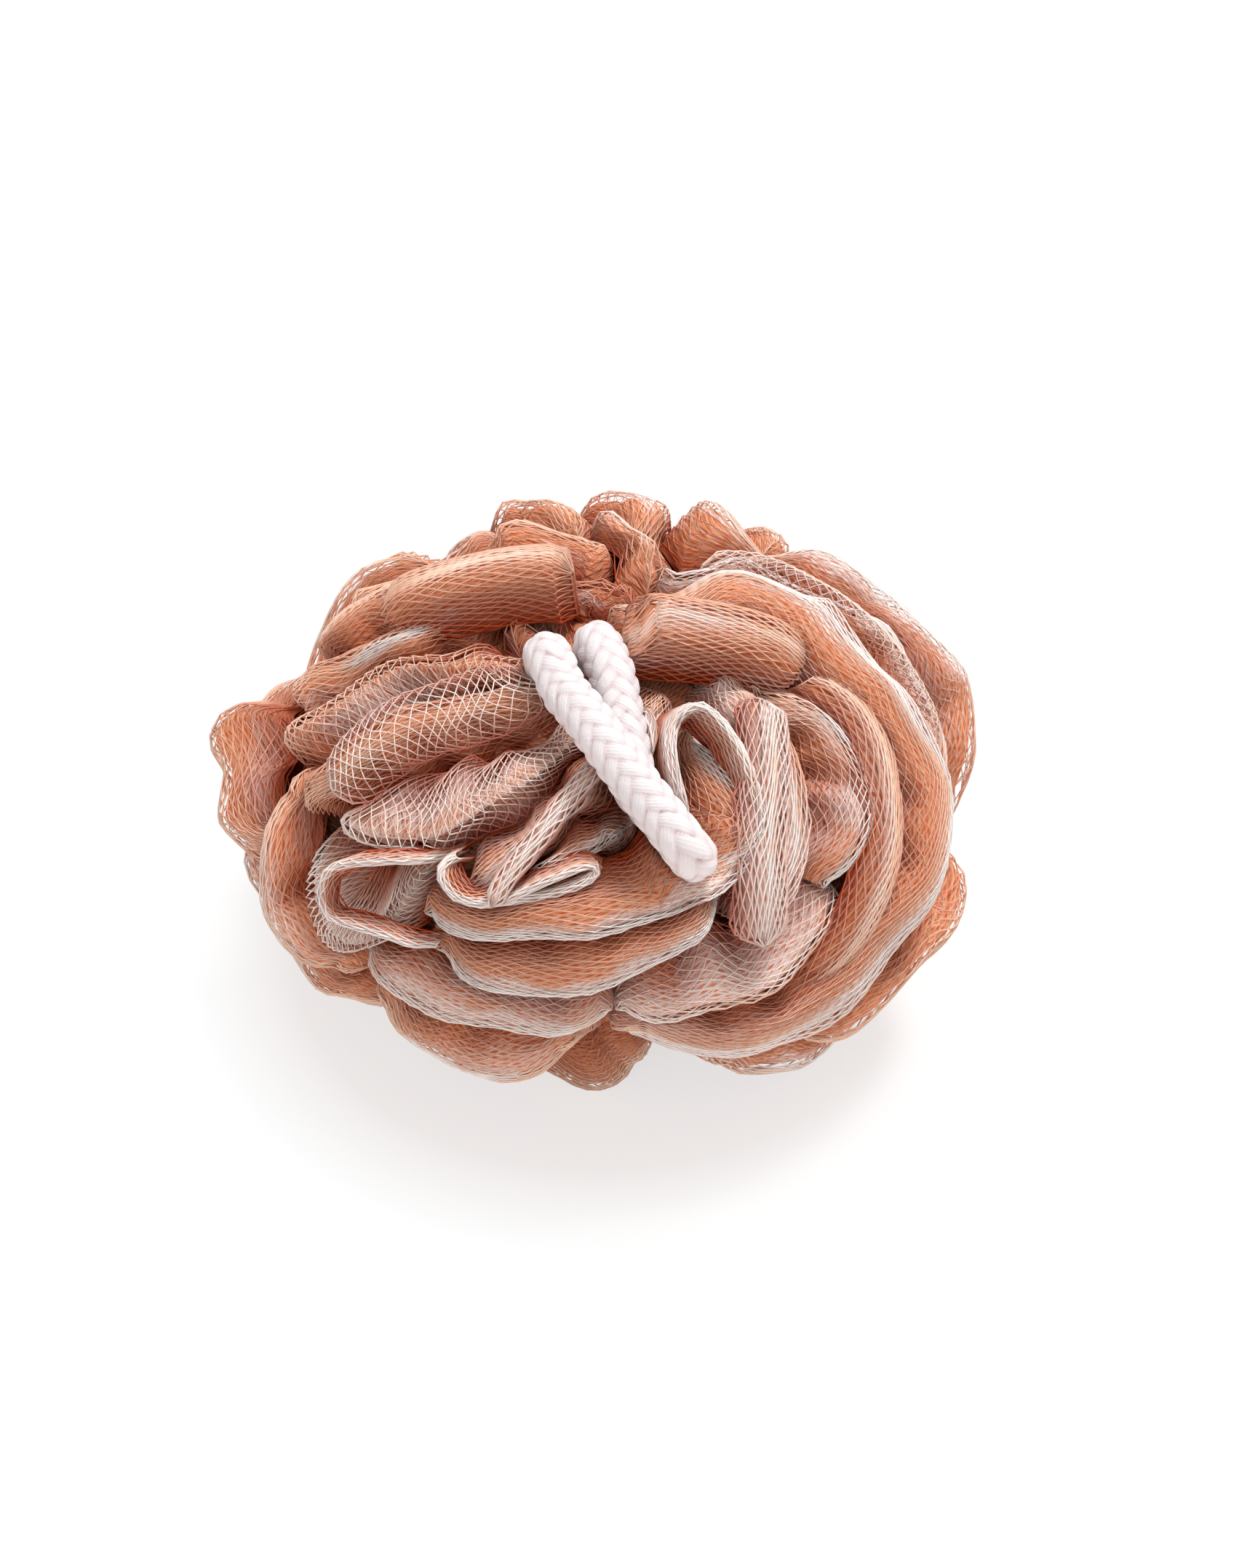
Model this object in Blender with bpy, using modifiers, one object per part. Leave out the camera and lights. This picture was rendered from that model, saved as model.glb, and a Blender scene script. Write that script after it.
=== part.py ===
"""Net bath pouf: loops of tubular net tied at a waist, with a braided hanging cord.

The pouf stands on the plane z = 0 and +Z is up. Every loop of net runs out from the tied waist to a
crest and back. A crest is a curve of directions seen from the waist's centre, and a loop takes the
space between its own crest and those of its neighbours, so no two loops ever meet.
"""

import math

import bmesh
import bpy
from mathutils import Vector

MM = 0.001

# Driving dimensions
POUF_WIDTH = 116 * MM  # along X, over the crests
POUF_DEPTH = 106 * MM  # along Y
POUF_HEIGHT = 74 * MM  # from the floor to the crests beside the cord
CENTRE_HEIGHT = 37 * MM  # the tied waist above the floor
LOOP_GAP = 0.6 * MM  # air between two neighbouring loops of net
SEAT_GAP = 0.3 * MM  # between pieces that rest on each other
FLOOR_PRESS = 1.0 * MM  # how far the lowest crests are pressed flat
NECK_RADIUS = 6.5 * MM  # the bunched net under the twine
TWINE_DIAMETER = 1.5 * MM
TWINE_PITCH = 1.6 * MM
CORD_DIAMETER = 7.0 * MM
KNOT_CORD_DIAMETER = 4.8 * MM  # the cord is squeezed where it is knotted
DENT_WIDTH = 6.5 * MM  # half the width of the trough that the cord lies in
DENT_DEPTH = 0.6 * MM  # air under the cord in that trough
CREST_STEP = 7.0  # degrees between two sections of a loop
SIDE_WIDEST = 23.0  # degrees from a loop's crest to its widest side
LEAST_THICKNESS = 1.0 * MM  # of a loop where the cord presses on it
DROP_SHARE = 0.8  # how far a side falls for each unit that it spreads
DROP_LEAST = 3.5 * MM
END_FALL = 8.0 * MM  # how much lower a crest is at its ends
FOOT_FULLNESS = 2.6  # 2 would make the lower half a plain ellipsoid
HINGE_CLEARANCE = 2.2 * MM  # room for the cord's round end to turn over the leg below it
WELD_DISTANCE = 0.01 * MM  # corners of a loop closer than this are one

# Derived dimensions
CENTRE = Vector((0, 0, CENTRE_HEIGHT))
HEIGHT_OVER = POUF_HEIGHT - CENTRE_HEIGHT  # of the crests over the waist
HALF_WIDTH = POUF_WIDTH / 2
HALF_DEPTH = POUF_DEPTH / 2
CORD_RADIUS = CORD_DIAMETER / 2
TWINE_RADIUS = TWINE_DIAMETER / 2
TWINE_LINE_RADIUS = NECK_RADIUS + SEAT_GAP + TWINE_RADIUS
CORD_LINE_RADIUS = TWINE_LINE_RADIUS + TWINE_RADIUS + SEAT_GAP + CORD_RADIUS
WAIST_RADIUS = CORD_LINE_RADIUS + CORD_RADIUS
GROOVE_HALF = CORD_RADIUS + SEAT_GAP
KNOT_RING = 1.2 * KNOT_CORD_DIAMETER  # the ring that the knotted cord winds about
KNOT_SWAY = 0.525 * KNOT_CORD_DIAMETER  # how far it winds to each side, just enough to pass itself
KNOT_HALF_HEIGHT = KNOT_SWAY + KNOT_CORD_DIAMETER / 2
KNOT_REACH = KNOT_RING + KNOT_HALF_HEIGHT
KNOT_SEAT = WAIST_RADIUS + SEAT_GAP + KNOT_HALF_HEIGHT
KNOT_DEPTH = math.sqrt(KNOT_SEAT**2 - KNOT_RING**2)  # the knot hangs against the waist
KNOT_MIDDLE = CENTRE - Vector((0, 0, KNOT_DEPTH))

# Each loop: side weights to the left and right of its crest, and its crest as (azimuth, elevation) in
# degrees seen from the waist. A heavier side spreads further.
LOOPS = {
    "loop_front_rim": (
        1.5, 0.5, [(-119, 13.5), (-106, 15.5), (-92, 18), (-78, 20.5), (-66, 24), (-57, 31), (-59, 45)],
    ),
    "loop_front_lower": (1.5, 0.5, [(-116, 7), (-103, 7.5), (-91, 10), (-79, 13), (-67, 18)]),
    "loop_front_bottom": (1.4, 0.6, [(-131, 1), (-121, -0.5), (-108, -1), (-97, -2), (-89, -1)]),
    "loop_front_under": (1, 1, [(-128, -10), (-117, -15), (-106, -16), (-96, -13)]),
    "loop_left_cone": (1, 1, [(-146, 9), (-138, 3), (-128, 7), (-125, 16)]),
    "loop_left_leaf_low": (1.4, 0.6, [(-142, 18), (-129, 24), (-116, 30), (-106, 39), (-100, 49)]),
    "loop_left_leaf_high": (1, 1, [(-154, 15), (-147, 29), (-138, 43), (-124, 56)]),
    "loop_left_open": (0.6, 1.4, [(-169, 19), (-169, 34), (-160, 50), (-138, 62)]),
    "loop_left_roll": (1, 1, [(177, 21), (-179, 38), (179, 50), (172, 63)]),
    "loop_back_left": (1, 1, [(167, 24), (160, 42), (149, 57), (127, 68)]),
    "loop_hairpin_left": (1, 1, [(-112, 20), (-104, 27), (-97, 34), (-91, 41)]),
    "loop_hairpin_right": (1, 1, [(-102, 23), (-95, 26), (-88, 29)]),
    "loop_beside_cord": (1, 1, [(-75, 46), (-66, 58)]),
    "loop_upright": (1, 1, [(-37, 51), (-45, 37), (-52, 25), (-59, 12)]),
    "loop_inner_right": (0.6, 1.4, [(-30, 47), (-26, 33), (-31, 22), (-43, 12)]),
    "loop_great_ring": (
        1.2, 0.8,
        [
            (12, 77), (10, 63), (4, 50), (-5, 38), (-13, 25), (-22, 12), (-34, 2), (-50, -5), (-66, -9),
            (-82, -9),
        ],
    ),
    "loop_front_right": (1.4, 0.6, [(-85, -1), (-70, 1), (-58, 2), (-45, 6)]),
    "loop_back_right": (0.6, 1.4, [(50, 62), (33, 50), (18, 39), (6, 28), (-4, 16), (-14, 3)]),
    "loop_right_point": (0.6, 1.4, [(43, 42), (27, 30), (14, 18), (6, 6), (0, -7)]),
    "loop_right_low": (1, 1, [(-8, -12), (-22, -9), (-38, -11), (-53, -17)]),
    "loop_right_under": (1, 1, [(-24, -25), (-42, -27), (-62, -25)]),
    "loop_left_outer": (1, 1, [(174, 10), (-171, 4), (-159, 3)]),
    "loop_left_outer_low": (1, 1, [(-158, 13), (-151, 1), (-139, -5)]),
    "loop_left_under": (1, 1, [(-178, -11), (-159, -14), (-140, -19)]),
    "loop_back_top_left": (1, 1, [(128, 51), (112, 58), (96, 61)]),
    "loop_back_top_right": (1, 1, [(90, 50), (76, 56), (62, 64)]),
    "loop_back_high_4": (1, 1, [(150, 24), (140, 31), (128, 37)]),
    "loop_back_high_3": (1, 1, [(114, 26), (105, 36), (101, 48)]),
    "loop_back_high_2": (1, 1, [(87, 28), (80, 36), (73, 47)]),
    "loop_back_high_1": (1, 1, [(64, 38), (53, 40), (40, 38)]),
    "loop_pit_back": (1, 1, [(122, 76), (88, 73), (58, 76)]),
    "loop_pit_left": (1, 1, [(158, 74), (172, 69), (-170, 67)]),
    "loop_rest": (1, 1, [(180, -74), (180, -90), (0, -74)]),
}
# The loops behind and below stand in rings. Each row holds the elevation, the first azimuth, the step,
# the count, half a crest's length and its slant, all but the count in degrees.
LOOP_RINGS = {
    "loop_back_middle": (7, 36, 27, 5, 15, -58),
    "loop_back_low": (-17, 13, 28, 6, 17, 50),
    "loop_under_ring": (-52, 10, 60, 6, 20, 30),
}
# How far in mm each crest rises over the pouf's round form; the others lie on it.
RISES = {
    "loop_front_rim": 3.0,
    "loop_front_lower": 3.0,
    "loop_front_bottom": 2.0,
    "loop_left_cone": 1.0,
    "loop_left_leaf_low": 1.5,
    "loop_left_open": -1.0,
    "loop_left_roll": -3.0,
    "loop_back_left": -2.0,
    "loop_beside_cord": -2.0,
    "loop_upright": 2.0,
    "loop_great_ring": 3.0,
    "loop_right_point": 3.0,
    "loop_right_low": 3.0,
    "loop_right_under": 2.0,
    "loop_left_outer": 2.5,
    "loop_left_outer_low": 1.0,
    "loop_left_under": -1.0,
    "loop_back_top_right": 1.0,
    "loop_back_high_4": -6.0,
    "loop_back_high_2": 1.0,
    "loop_back_high_1": 2.0,
    "loop_pit_back": -2.0,
    "loop_pit_left": -2.0,
    "loop_rest": 5.0,
    "loop_back_middle": -1.5,
    "loop_under_ring": 4.0,
}

# The cord's route on the waist's centre: across and along in mm, and height as a share of HEIGHT_OVER.
LEG_LEFT = [(-7.6, 0, 0.308), (-7.2, -0.6, 0.459), (-7.2, -4.6, 0.6)]
LEG_RIGHT = [(7.6, 0, 0.308), (5.0, -0.4, 0.459), (1.9, -2.6, 0.608)]
HINGE_LEFT = (-7.5, -11.2, 0.919)
HINGE_RIGHT = (-0.1, -8.2, 0.919)
LOOP_UPPER = [
    (-7.3, -13.6, 1.0), (-6.4, -17.6, 1.041), (-4.6, -22.6, 1.019), (-1.8, -27.8, 1.03), (1.9, -33.9, 0.997),
    (6.1, -39.0, 0.919), (9.4, -42.2, 0.846),
]
LOOP_TIP = [
    (11.4, -44.3, 0.805), (13.2, -45.4, 0.746), (14.2, -44.4, 0.673), (13.8, -41.8, 0.63),
    (12.2, -39.3, 0.641),
]
LOOP_LOWER = [
    (10.2, -37.1, 0.684), (6.1, -33.9, 0.77), (5.0, -30.9, 0.808), (4.4, -27.6, 0.843), (3.2, -21.0, 0.911),
    (2.3, -16.6, 0.965), (0.9, -12.4, 0.986), (0.3, -10.0, 0.968),
]


def clear_scene():
    for obj in list(bpy.data.objects):
        bpy.data.objects.remove(obj, do_unlink=True)


def make_collection(name):
    collection = bpy.data.collections.new(name)
    bpy.context.scene.collection.children.link(collection)
    return collection


def make_material(name, colour, roughness):
    material = bpy.data.materials.new(name)
    material.use_nodes = True
    shader = material.node_tree.nodes["Principled BSDF"]
    shader.inputs["Base Color"].default_value = (*colour, 1)
    shader.inputs["Roughness"].default_value = roughness
    shader.inputs["Metallic"].default_value = 0
    return material


def direction(azimuth, elevation):
    """The unit vector from the waist at these angles in degrees."""
    a, e = math.radians(azimuth), math.radians(elevation)
    return Vector((math.cos(e) * math.cos(a), math.cos(e) * math.sin(a), math.sin(e)))


def smooth_line(points, per_span):
    """A Catmull-Rom curve through the points, with per_span steps between each two."""
    ends = [2 * points[0] - points[1], *points, 2 * points[-1] - points[-2]]
    line = []
    for a, b, c, d in zip(ends, ends[1:], ends[2:], ends[3:]):
        for i in range(per_span):
            t = i / per_span
            bend = (2 * a - 5 * b + 4 * c - d) * t**2 + (3 * b - a - 3 * c + d) * t**3
            line.append(0.5 * (2 * b + (c - a) * t + bend))
    return [*line, points[-1].copy()]


def evenly_spaced(line, count):
    """count points at equal distances along the line."""
    lengths = [0.0]
    for a, b in zip(line, line[1:]):
        lengths.append(lengths[-1] + (b - a).length)
    points, i = [], 0
    for k in range(count):
        at = lengths[-1] * k / (count - 1)
        while i < len(line) - 2 and lengths[i + 1] < at:
            i += 1
        share = (at - lengths[i]) / (lengths[i + 1] - lengths[i])
        points.append(line[i].lerp(line[i + 1], share))
    return points


def left_of(dirs):
    """The direction to the left of a line of directions, at each of them."""
    lefts = []
    for before, here, after in zip([dirs[0], *dirs], dirs, [*dirs[1:], dirs[-1]]):
        lefts.append(here.cross(after - before).normalized())
    return lefts


class Crest:
    """A loop's crest: directions along it, and the direction to its left at each."""

    def __init__(self, weights, rise, angles):
        self.weights = weights
        self.rise = rise
        line = smooth_line([direction(*pair) for pair in angles], 8)
        degrees = sum(math.degrees((b - a).length) for a, b in zip(line, line[1:]))
        self.count = max(7, round(degrees / CREST_STEP) + 1)
        fine = [p.normalized() for p in evenly_spaced(line, 3 * self.count - 2)]
        self.marks = list(zip(fine, left_of(fine)))
        self.dirs = fine[::3]
        self.lefts = left_of(self.dirs)


def rise_of(name):
    return RISES.get(name, 0) * MM


def ring_crests():
    """The crests of the rings behind and below the pouf, by name."""
    crests = {}
    for name, (elevation, first, step, count, half, slant) in LOOP_RINGS.items():
        for k in range(count):
            middle = first + step * k
            tilt = math.radians(slant)
            angles = []
            for share in (-1, 0, 1):
                across = half * share * math.cos(tilt) / math.cos(math.radians(elevation))
                angles.append((middle + across, elevation + half * share * math.sin(tilt)))
            crests[f"{name}_{k + 1}"] = Crest((1, 1), rise_of(name), angles)
    return crests


def all_crests():
    crests = {}
    for name, (left, right, angles) in LOOPS.items():
        crests[name] = Crest((left, right), rise_of(name), angles)
    crests.update(ring_crests())
    return crests


def side_limit(name, i, side, crests):
    """The widest angle of a loop's side at section i that stays clear of every other loop."""
    crest = crests[name]
    here, out = crest.dirs[i], crest.lefts[i] * side
    own = crest.weights[0 if side > 0 else 1]
    best = math.radians(SIDE_WIDEST)
    for other_name, other in crests.items():
        if other_name == name:
            continue
        for there, left in other.marks:
            apart = there - here
            if apart.length > 1.2 or apart.dot(out) < -0.25 * apart.length:
                continue
            theirs = other.weights[0 if left.dot(-apart) > 0 else 1]
            best = min(best, 0.95 * here.angle(there) * own / (own + theirs))
    return best


def ray_span(ray, middle, radius):
    """Where a ray from the waist's centre enters and leaves a sphere, or None."""
    along = ray.dot(middle)
    inside = radius**2 - (middle.length_squared - along**2)
    if inside <= 0:
        return None
    return along - math.sqrt(inside), along + math.sqrt(inside)


def round_radius(ray):
    """The pouf's round form, from the waist outwards. It sags, so it is fuller below the waist."""
    level = math.hypot(ray.x / HALF_WIDTH, ray.y / HALF_DEPTH)
    power = 2 if ray.z > 0 else FOOT_FULLNESS
    tall = HEIGHT_OVER if ray.z > 0 else CENTRE_HEIGHT
    return (level**power + abs(ray.z / tall) ** power) ** (-1 / power)


def outer_radius(ray, wanted, loop_line):
    """wanted, but clear of the cord that lies on the loops, and hardly below the floor."""
    radius = wanted
    for point in loop_line:
        along = ray.dot(point)
        off = math.sqrt(max(0.0, point.length_squared - along**2))
        if along > 0 and off < DENT_WIDTH:
            deep = (CORD_RADIUS + DENT_DEPTH) * math.sqrt(1 - (off / DENT_WIDTH) ** 2)
            radius = min(radius, along - deep)
    if ray.z < 0:
        radius = min(radius, (CENTRE_HEIGHT + FLOOR_PRESS) / -ray.z)
    return radius


def knot_exit(ray):
    """Where a ray from the waist's centre leaves the drum-shaped space that the knot takes."""
    if ray.z >= 0:
        return 0
    top = WAIST_RADIUS / -ray.z
    bottom = (KNOT_DEPTH + KNOT_HALF_HEIGHT + SEAT_GAP) / -ray.z
    side = (KNOT_REACH + SEAT_GAP) / max(1e-6, math.hypot(ray.x, ray.y))
    return min(side, bottom) if side > top else 0


def inner_radius(ray, leg_line):
    """Where a loop starts: outside the waist, the knot and the cord's legs."""
    radius = max(WAIST_RADIUS + SEAT_GAP, knot_exit(ray))
    for point in leg_line:
        span = ray_span(ray, point, CORD_RADIUS + 2 * LOOP_GAP)
        if span:
            radius = max(radius, span[1])
    return radius


# A loop's section: share of the side's width, and share of the side's fall. None starts at the waist.
SECTION = [(1, None), (1, 1.5), (1, 1.05), (0.62, 0.55), (0.25, 0.13)]


def loop_section(crest, i, limits, loop_line, leg_line):
    """The corners of a loop's section at i, up its left side, over the crest and down its right side."""
    here = crest.dirs[i]
    end = 2 * i / (crest.count - 1) - 1
    swell = math.sqrt(max(0.0, 1 - abs(end) ** 3))
    crest_radius = round_radius(here) + crest.rise * swell - END_FALL * abs(end) ** 6
    corners = []
    for side in (1, -1):
        wide = limits[side][i] * swell
        fall = DROP_LEAST + DROP_SHARE * wide * crest_radius
        half = []
        for across, down in SECTION:
            ray = (here + crest.lefts[i] * side * math.tan(wide * across)).normalized()
            start = inner_radius(ray, leg_line)
            wanted = start
            if down is not None:
                outside = outer_radius(ray, crest_radius - fall * down, loop_line)
                wanted = max(start + LEAST_THICKNESS, outside)
            angle = max(0.0, wide * across - LOOP_GAP / 2 / wanted * swell)
            ray = (here + crest.lefts[i] * side * math.tan(angle)).normalized()
            half.append(CENTRE + ray * wanted)
        corners.append(half)
    bottom = inner_radius(here, leg_line)
    top = max(bottom + 1.5 * LEAST_THICKNESS, outer_radius(here, crest_radius, loop_line))
    crown = CENTRE + here * top
    root = CENTRE + here * bottom
    return [root, *corners[0], crown, *reversed(corners[1])]


def press_flat(bm):
    """Cuts off what lies below the floor and closes the cut with a flat face."""
    cut = bmesh.ops.bisect_plane(
        bm, geom=[*bm.verts, *bm.edges, *bm.faces], plane_co=(0, 0, 0), plane_no=(0, 0, -1),
        clear_outer=True, dist=1e-7,
    )
    rim = [e for e in cut["geom_cut"] if isinstance(e, bmesh.types.BMEdge) and e.is_boundary]
    if rim:
        bmesh.ops.holes_fill(bm, edges=rim, sides=0)


def loop_mesh(name, sections):
    """Joins a loop's sections into one closed skin."""
    bm = bmesh.new()
    rows = [[bm.verts.new(p) for p in section] for section in sections]
    for row, following in zip(rows, rows[1:]):
        for k in range(len(row)):
            n = (k + 1) % len(row)
            bm.faces.new((row[k], row[n], following[n], following[k]))
    bmesh.ops.remove_doubles(bm, verts=bm.verts, dist=WELD_DISTANCE)
    bmesh.ops.triangulate(bm, faces=bm.faces)
    bmesh.ops.recalc_face_normals(bm, faces=bm.faces)
    press_flat(bm)
    bmesh.ops.recalc_face_normals(bm, faces=bm.faces)
    mesh = bpy.data.meshes.new(name)
    bm.to_mesh(mesh)
    bm.free()
    mesh.shade_smooth()
    return mesh


def make_loops(collection, material, loop_line, leg_line):
    crests = all_crests()
    for name, crest in crests.items():
        limits = {side: [side_limit(name, i, side, crests) for i in range(crest.count)] for side in (1, -1)}
        sections = [loop_section(crest, i, limits, loop_line, leg_line) for i in range(crest.count)]
        obj = bpy.data.objects.new(name, loop_mesh(name, sections))
        obj.data.materials.append(material)
        collection.objects.link(obj)


def make_waist(collection, material):
    """The bunched net at the tie: a ball turned about Y, with the groove that the twine pulls in."""
    lip = math.asin(GROOVE_HALF / WAIST_RADIUS)
    steps = 7
    arc = [math.pi / 2 - (math.pi / 2 - lip) * k / (steps - 1) for k in range(steps)]
    half = [(WAIST_RADIUS * math.cos(a), WAIST_RADIUS * math.sin(a)) for a in arc]
    half.append((NECK_RADIUS, GROOVE_HALF))
    profile = [*half, *((r, -y) for r, y in reversed(half))]
    bm = bmesh.new()
    verts = [bm.verts.new((r, y, 0)) for r, y in profile]
    for a, b in zip(verts, verts[1:]):
        bm.edges.new((a, b))
    mesh = bpy.data.meshes.new("gathered_waist")
    bm.to_mesh(mesh)
    bm.free()
    obj = bpy.data.objects.new("gathered_waist", mesh)
    obj.location = CENTRE
    collection.objects.link(obj)
    screw = obj.modifiers.new("Turn", "SCREW")
    screw.axis = "Y"
    screw.steps = screw.render_steps = 28
    screw.use_merge_vertices = True
    screw.merge_threshold = 0.00005
    screw.use_smooth_shade = True
    mesh.materials.append(material)


def make_tube(name, collection, material, line, diameter):
    """A round tube along a line of points, with closed ends."""
    curve = bpy.data.curves.new(name, "CURVE")
    curve.dimensions = "3D"
    curve.bevel_depth = diameter / 2
    curve.bevel_resolution = 2
    curve.use_fill_caps = True
    spline = curve.splines.new("POLY")
    spline.points.add(len(line) - 1)
    for point, place in zip(spline.points, line):
        point.co = (*place, 1)
    curve.materials.append(material)
    obj = bpy.data.objects.new(name, curve)
    collection.objects.link(obj)
    return obj


def make_twine(collection, material):
    """The twine, wound round the neck from lip to lip of the groove."""
    turns = math.floor((2 * GROOVE_HALF - TWINE_DIAMETER - 2 * SEAT_GAP) / TWINE_PITCH)
    per_turn = 16
    line = []
    for k in range(turns * per_turn + 1):
        turn = k / per_turn
        angle = math.tau * turn
        along = (turn - turns / 2) * TWINE_PITCH
        across, up = TWINE_LINE_RADIUS * math.cos(angle), TWINE_LINE_RADIUS * math.sin(angle)
        line.append(CENTRE + Vector((across, along, up)))
    make_tube("binding_twine", collection, material, line, TWINE_DIAMETER)


def on_waist(points):
    """Points of the cord's route in metres, seen from the waist's centre."""
    return [Vector((across * MM, along * MM, high * HEIGHT_OVER)) for across, along, high in points]


def root_line():
    """The cord from its left hinge down its leg, under the waist and up its right leg, from the centre."""
    under = []
    for k in range(9):
        angle = math.radians(-210 + 240 * k / 8)
        under.append(Vector((math.cos(angle), 0, math.sin(angle))) * CORD_LINE_RADIUS)
    below = Vector((0, 0, -(CORD_RADIUS + HINGE_CLEARANCE)))
    left, right = (point + below for point in on_waist([HINGE_LEFT, HINGE_RIGHT]))
    points = [left, *reversed(on_waist(LEG_LEFT)), *under, *on_waist(LEG_RIGHT), right]
    return smooth_line(points, 3)


def lying_line():
    """The cord from its left hinge out over the pouf, round its tip and back to its right hinge."""
    return smooth_line(on_waist([HINGE_LEFT, *LOOP_UPPER, *LOOP_TIP, *LOOP_LOWER, HINGE_RIGHT]), 4)


def make_knot(collection, material):
    """The overhand knot that joins the cord's ends: a closed knot, cut open where the ends come out."""
    cut = 0.25
    count = 44
    line = []
    for k in range(count):
        t = cut + (math.tau - 2 * cut) * k / (count - 1)
        out = KNOT_RING + KNOT_SWAY * math.cos(3 * t)
        turn = Vector((out * math.cos(2 * t), out * math.sin(2 * t), KNOT_SWAY * math.sin(3 * t)))
        line.append(KNOT_MIDDLE + turn)
    make_tube("cord_knot", collection, material, line, KNOT_CORD_DIAMETER)


def main():
    clear_scene()
    pouf = make_collection("net bath pouf")
    net = make_material("orange net", (0.82, 0.36, 0.16), 0.45)
    bunched = make_material("bunched net", (0.62, 0.22, 0.09), 0.55)
    cotton = make_material("white braided cord", (0.9, 0.86, 0.86), 0.75)
    nylon = make_material("white twine", (0.85, 0.83, 0.8), 0.5)
    root = root_line()
    lying = lying_line()
    make_loops(pouf, net, lying, root)
    make_waist(pouf, bunched)
    make_twine(pouf, nylon)
    make_tube("cord_root", pouf, cotton, [CENTRE + p for p in root], CORD_DIAMETER)
    make_tube("cord_loop", pouf, cotton, [CENTRE + p for p in lying], CORD_DIAMETER)
    make_knot(pouf, cotton)


main()
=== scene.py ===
"""Renders the net bath pouf: striped diamond net folded into loops, and a white braided cord.

Every loop of net is laid over its own crest, which is a curve of directions seen from the tied waist, as in
the CAD model. Lengths are metres, and the frame is the CAD model's.
"""

import math

import bmesh
import bpy
import numpy as np
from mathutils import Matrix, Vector


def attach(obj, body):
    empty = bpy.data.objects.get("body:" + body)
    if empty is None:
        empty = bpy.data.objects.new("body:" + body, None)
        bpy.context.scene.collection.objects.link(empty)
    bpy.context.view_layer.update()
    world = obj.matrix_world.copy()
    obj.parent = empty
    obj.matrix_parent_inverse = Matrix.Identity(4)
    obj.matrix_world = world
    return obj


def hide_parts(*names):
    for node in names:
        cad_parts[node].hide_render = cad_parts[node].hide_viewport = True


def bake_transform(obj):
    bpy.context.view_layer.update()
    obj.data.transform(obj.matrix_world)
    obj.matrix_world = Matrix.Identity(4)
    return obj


MM = 0.001
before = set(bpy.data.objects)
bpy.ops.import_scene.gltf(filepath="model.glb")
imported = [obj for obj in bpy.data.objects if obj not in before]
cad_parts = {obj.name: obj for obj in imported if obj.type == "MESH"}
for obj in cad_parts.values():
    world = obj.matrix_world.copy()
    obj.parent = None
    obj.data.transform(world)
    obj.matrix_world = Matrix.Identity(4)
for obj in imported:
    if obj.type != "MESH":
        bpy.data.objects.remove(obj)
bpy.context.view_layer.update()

# The CAD model's own sizes
CENTRE = np.array([0, 0, 37.0]) * MM
HALF_WIDTH, HALF_DEPTH, HEIGHT_OVER = 58 * MM, 53 * MM, 37 * MM
FOOT_FULLNESS = 2.6
SIDE_WIDEST = 28.0
CORD_DIAMETER = 7.0 * MM
CORD_LINE_RADIUS = 12.1 * MM

# Net
STRAND = 0.27 * MM
BAND_STRAND_SHARE = 1.35  # the strands drawn together in a doubled band are this much thicker
STRAND_JITTER = 0.04 * MM
# Each layer's depth under a loop's skin, and how far its cells are opened: closely in NETS, and in the others
LAYERS_CLOSE = [(0.0, 1.0), (1.3 * MM, 1.25)]
LAYERS_PLAIN = [(0.0, 1.25), (1.5 * MM, 1.7)]
BAND_LAYERS = [(0.0, 1.0)]
FIRST_BAND_SEED = 200
BAND_CELL, OPEN_CELL = (3.6 * MM, 0.95 * MM), (1.95 * MM, 3.6 * MM)
TOP_STEPS = 0.3  # of a loop's half section, taken by its flat top
TOP_MOST = 0.75  # of the way to the neighbours, the furthest that this top reaches
TOP_FALL = 0.25  # of the half width of that top, how far its edge lies under its crest
RUFFLE, FINE_RUFFLE = 0.5 * MM, 0.2 * MM  # of a crest
BAND_LEAN = 0.12  # of the depth of a band's sides, how far they lean out
BAND_RIM_FALL = 0.35  # of its half width, how far its rims lie under its middle
BAND_END_FALL = 0.28  # of the depth of its sides, how far its closed ends lie lower
BAND_START, BAND_START_FALL = 1.5 * MM, 1.2 * MM  # where it comes up out of the net
FOLDS_INSET = {"along": 1.0 * MM, "across": 1.7 * MM}
FOLDS_CELL = (1.6 * MM, 1.4 * MM)
LAYER_FADE = 0.4  # how much less white each layer is than the one over it
CREST_DRAWN = 1.25  # how much the strands that run along a crest are drawn together there
CORE_SHARE = 0.76  # of the pouf's round form
LEAST_RADIUS = 15 * MM  # from the waist's centre to the deepest net
END_FALL = 3 * MM
DROP_LEAST = 3.5 * MM  # how far a wall falls even where its neighbour is close
DROP_SHARE = 0.7  # and how much more it falls for each unit that it spreads
SPAN_STEPS = 12  # between two given points of a crest or of a band's route
# Shares of a rounded end's spread: the length of net over it, and how far its ridge runs on.
END_LENGTH, END_START = 0.8, 0.45
STATIONS, BAND_STATIONS = 49, 121  # points along a crest, and along a band
CREST_STEPS, SECTION_STEPS = 201, 101  # where a loop's length and its section's are measured
FAR_OFF = 9  # a distance or an angle that is never the least
END_TURNS = np.linspace(-90, 90, 19)  # the ways in which a rounded end is measured, in degrees

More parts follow.
